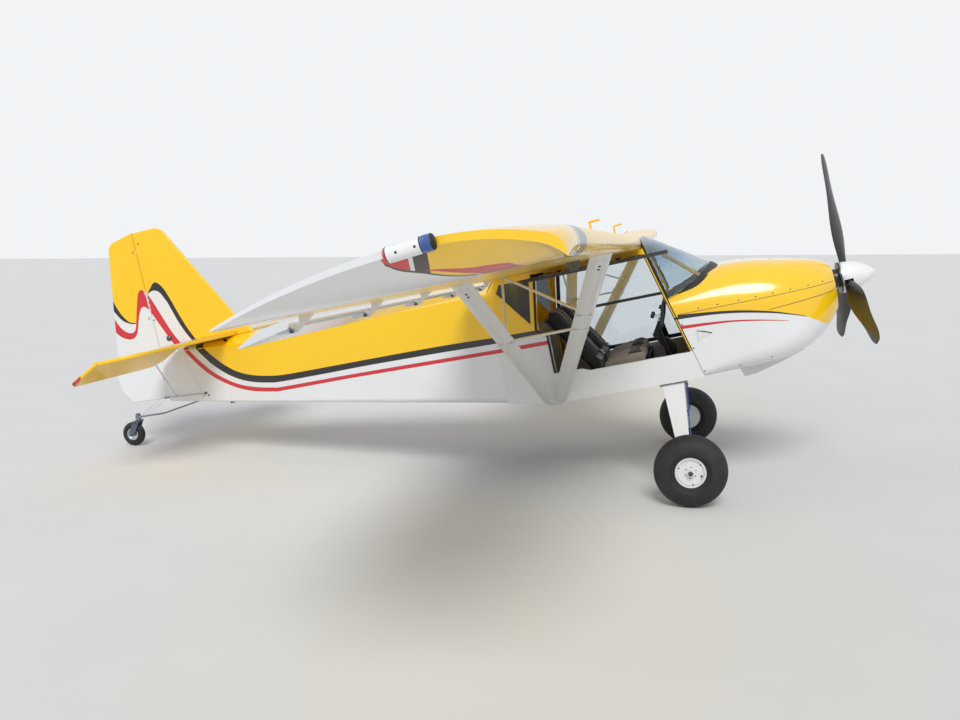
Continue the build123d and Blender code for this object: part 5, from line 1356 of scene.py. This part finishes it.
def build_door_fittings():
    """Door handles and the screws around the panes. Those of the right door swing up with it."""
    for side, word in SIDES:
        out = (0, side, 0)

        def proud(x, gap, z):
            return Vector((x, side * (BODY_HALF_W + gap), z))

        edit = bmesh.new()
        add_block(edit, proud(-0.730, 0.00225, 1.057), (0.040, 0.00175, 0.014), 0.003)
        add_block(edit, proud(-0.717, 0.013, 1.0575), (0.045, 0.009, 0.0065), 0.006)
        lock = ((0.0, 0.012), (0.016, 0.011), (0.020, 0.008))
        add_turned(edit, lock, proud(-0.752, 0.004, 1.057), out, 20)
        for x in (-0.764, -0.698):
            add_stud(edit, proud(x, 0.004, 1.047), out, 0.0035, look=1)
        for low_z, high_z, row_z in ((0.74, 1.045, 1.057), (1.070, 1.362, 1.382)):
            heights = [low_z + (high_z - low_z) * share for share in (0.08, 0.36, 0.64, 0.92)]
            screws = [(post_x(z) - 0.040, z) for z in heights]
            screws += [(-0.66 + step * 0.085, row_z) for step in range(7)]
            for x, z in screws:
                add_stud(edit, proud(x, 0.0004, z), out, 0.0036, look=1)
        if side < 0:
            hinge = proud(0, 0.007, 1.398)
            turn = Matrix.Rotation(math.radians(-DOOR_OPEN), 3, "X")
            bmesh.ops.rotate(edit, verts=edit.verts, cent=hinge, matrix=turn)
        make_piece("door_handle_" + word, edit, "plastic_black metal", "door_" + word)


# Propeller, roof and flaperon details

def build_propeller_details():
    edit = bmesh.new()
    for c, s in circle(9, 0.5):
        out = Vector((0, c, s))
        place = Vector((SPINNER_BASE_X + 0.014, 0, PROP_AXIS_Z)) + out * 0.1065
        add_stud(edit, place, out, 0.0040, 0.002)
    make_piece("spinner_screws", edit, "metal", "propeller")

    edit = bmesh.new()
    plate = ((0.0, 0.1072), (0.0, 0.1088), (0.010, 0.1088), (0.010, 0.1072))
    add_ring(edit, plate, (SPINNER_BASE_X + 0.0005, 0, PROP_AXIS_Z), 72, "x")
    make_piece("spinner_back_plate", edit, "metal", "propeller")


SKYLIGHT_REAR = -0.712
SKYLIGHT_FRONT = -0.168
SKYLIGHT_HALF_W = 0.372
CAP_PROFILE = (
    (-0.002, 0.040), (0.003, 0.040), (0.005, 0.036), (0.005, 0.031), (0.012, 0.030), (0.014, 0.026),
    (0.014, 0.0),
)


def build_roof_details():
    """Breather bases, fuel caps and the skylight's fixing strips."""
    tree = level_tree("wing_right wing_left roof_panel skylight")
    edit = bmesh.new()
    for x, y in ((-0.219, -1.940), (-0.190, -0.680)):
        base = ((-0.002, 0.020), (0.002, 0.020), (0.0035, 0.017), (0.0035, 0.0095))
        add_turned(edit, base, *top_point(tree, x, y), 24, 1)
    for side in (-1, 1):
        hit, normal = top_point(tree, -0.52, side * 1.62)
        add_turned(edit, CAP_PROFILE, hit, normal)
        add_block(edit, hit + Vector((0, 0, 0.0155)), (0.024, 0.004, 0.0055))
    make_piece("tank_caps", edit, "plastic_black yellow_enamel")

    edit = bmesh.new()
    shares = [step / 10 for step in range(11)]
    along = [SKYLIGHT_REAR + (SKYLIGHT_FRONT - SKYLIGHT_REAR) * share for share in shares]
    across = [SKYLIGHT_HALF_W * (2 * share - 1) for share in shares]
    for line in (
        [(x, SKYLIGHT_HALF_W) for x in along], [(x, -SKYLIGHT_HALF_W) for x in along],
        [(SKYLIGHT_REAR, y) for y in across], [(SKYLIGHT_FRONT, y) for y in across],
    ):
        places, normals = on_body(top_point, tree, line)
        add_strip(edit, places, normals, 0.026, 0.0014)
        for place, normal in list(zip(places, normals))[1::2]:
            add_stud(edit, place + normal * 0.0008, normal, 0.0042, look=1)
    make_piece("skylight_strips", edit, "seal metal")


def build_flaperon_details():
    """Bolts in the flaperon brackets."""
    edit = bmesh.new()
    for side in (-1, 1):
        for number in range(5):
            y = 0.840 + number * 0.730
            x, z = WING_LE_X - WING_CHORD - 0.025, wing_under(y) - 0.044
            for way in (-1, 1):
                place = Vector((x, side * y + way * 0.0175, z))
                add_stud(edit, place, (0, way, 0), 0.0085, 0.006, sides=6)
    make_piece("flaperon_bolts", edit, "dark_metal")


# Camera, light and floor

CAMERA_PLACE = Vector((-0.095, -6.589, 1.736))  # from the floor under the main axle
CAMERA_TURN = math.radians(12.51)
CAMERA_DOWN = math.radians(8.03)
CAMERA_ROLL = math.radians(0.608)
CAMERA_LENS = 33.705  # mm on a 36 mm wide sensor


def build_camera():
    flat = Vector((-math.sin(CAMERA_TURN), math.cos(CAMERA_TURN), 0))
    ahead = flat * math.cos(CAMERA_DOWN) - Vector((0, 0, math.sin(CAMERA_DOWN)))
    up = flat * math.sin(CAMERA_DOWN) + Vector((0, 0, math.cos(CAMERA_DOWN)))
    right = ahead.cross(up)
    rolled_right = right * math.cos(CAMERA_ROLL) - up * math.sin(CAMERA_ROLL)
    rolled_up = right * math.sin(CAMERA_ROLL) + up * math.cos(CAMERA_ROLL)
    data = bpy.data.cameras.new("view")
    data.sensor_fit = "HORIZONTAL"
    data.sensor_width = 36.0
    data.lens = CAMERA_LENS
    data.clip_end = 300.0
    camera = bpy.data.objects.new("view", data)
    turn = Matrix((rolled_right, rolled_up, -ahead)).transposed()
    camera.matrix_world = Matrix.Translation(CAMERA_PLACE + Vector((AXLE.x, 0, 0))) @ turn.to_4x4()
    bpy.context.scene.collection.objects.link(camera)
    bpy.context.scene.camera = camera


def sun_lamp(name, direction, strength, spread, colour):
    """A wide, soft light from one direction. spread is how broad it looks, in degrees."""
    data = bpy.data.lights.new(name, "SUN")
    data.energy = strength
    data.angle = math.radians(spread)
    data.color = colour
    lamp = bpy.data.objects.new(name, data)
    lamp.rotation_euler = Vector(direction).to_track_quat("-Z", "Y").to_euler()
    bpy.context.scene.collection.objects.link(lamp)


def build_stage():
    edit = bmesh.new()
    bmesh.ops.create_grid(edit, x_segments=1, y_segments=1, size=60.0)
    mesh = bpy.data.meshes.new("studio_floor")
    edit.to_mesh(mesh)
    edit.free()
    floor = bpy.data.objects.new("studio_floor", mesh)
    bpy.context.scene.collection.objects.link(floor)
    paint = Paint("pale_studio_floor")
    lumps = paint.add("TexNoise", {"Vector": paint.level, "Scale": 1000 / 900, "Detail": 3.0})
    tone = paint.add("Mix", {0: lumps, 6: linear("#E3E3E1"), 7: linear("#DCDCDA")}, data_type="RGBA")
    mesh.materials.append(paint.finish(tone, Roughness=0.9))

    world = bpy.data.worlds.new("studio")
    nodes = Nodes(world)
    rays = nodes.add("LightPath").outputs
    mirrored = [rays["Is Glossy Ray"], rays["Is Transmission Ray"]]
    mirrored = nodes.add("Math", mirrored, operation="MAXIMUM")
    seen = nodes.add("Math", [rays["Is Camera Ray"], mirrored], operation="MAXIMUM")
    light = nodes.add("Background", {"Color": (0.86, 0.91, 1.0, 1.0), "Strength": 0.5})
    shown = nodes.add("Background", {"Color": (0.93, 0.95, 0.97, 1.0), "Strength": 0.95})
    nodes.add("OutputWorld", {"Surface": nodes.add("MixShader", [seen, light, shown])})
    bpy.context.scene.world = world

    sun_lamp("key", (-0.15, 0.70, -0.70), 1.9, 25.0, (1.0, 0.98, 0.94))
    sun_lamp("fill", (0.75, 0.25, -0.45), 0.35, 60.0, (0.93, 0.96, 1.0))
    bpy.context.scene.view_settings.view_transform = "Standard"


lay_stripes()
build_wheels()
build_cowl_fittings()
build_glass_edging()
build_struts()
build_tip_lights()
build_tail_fittings()
build_seats()
build_instruments()
build_door_fittings()
build_propeller_details()
build_roof_details()
build_flaperon_details()
build_camera()
build_stage()
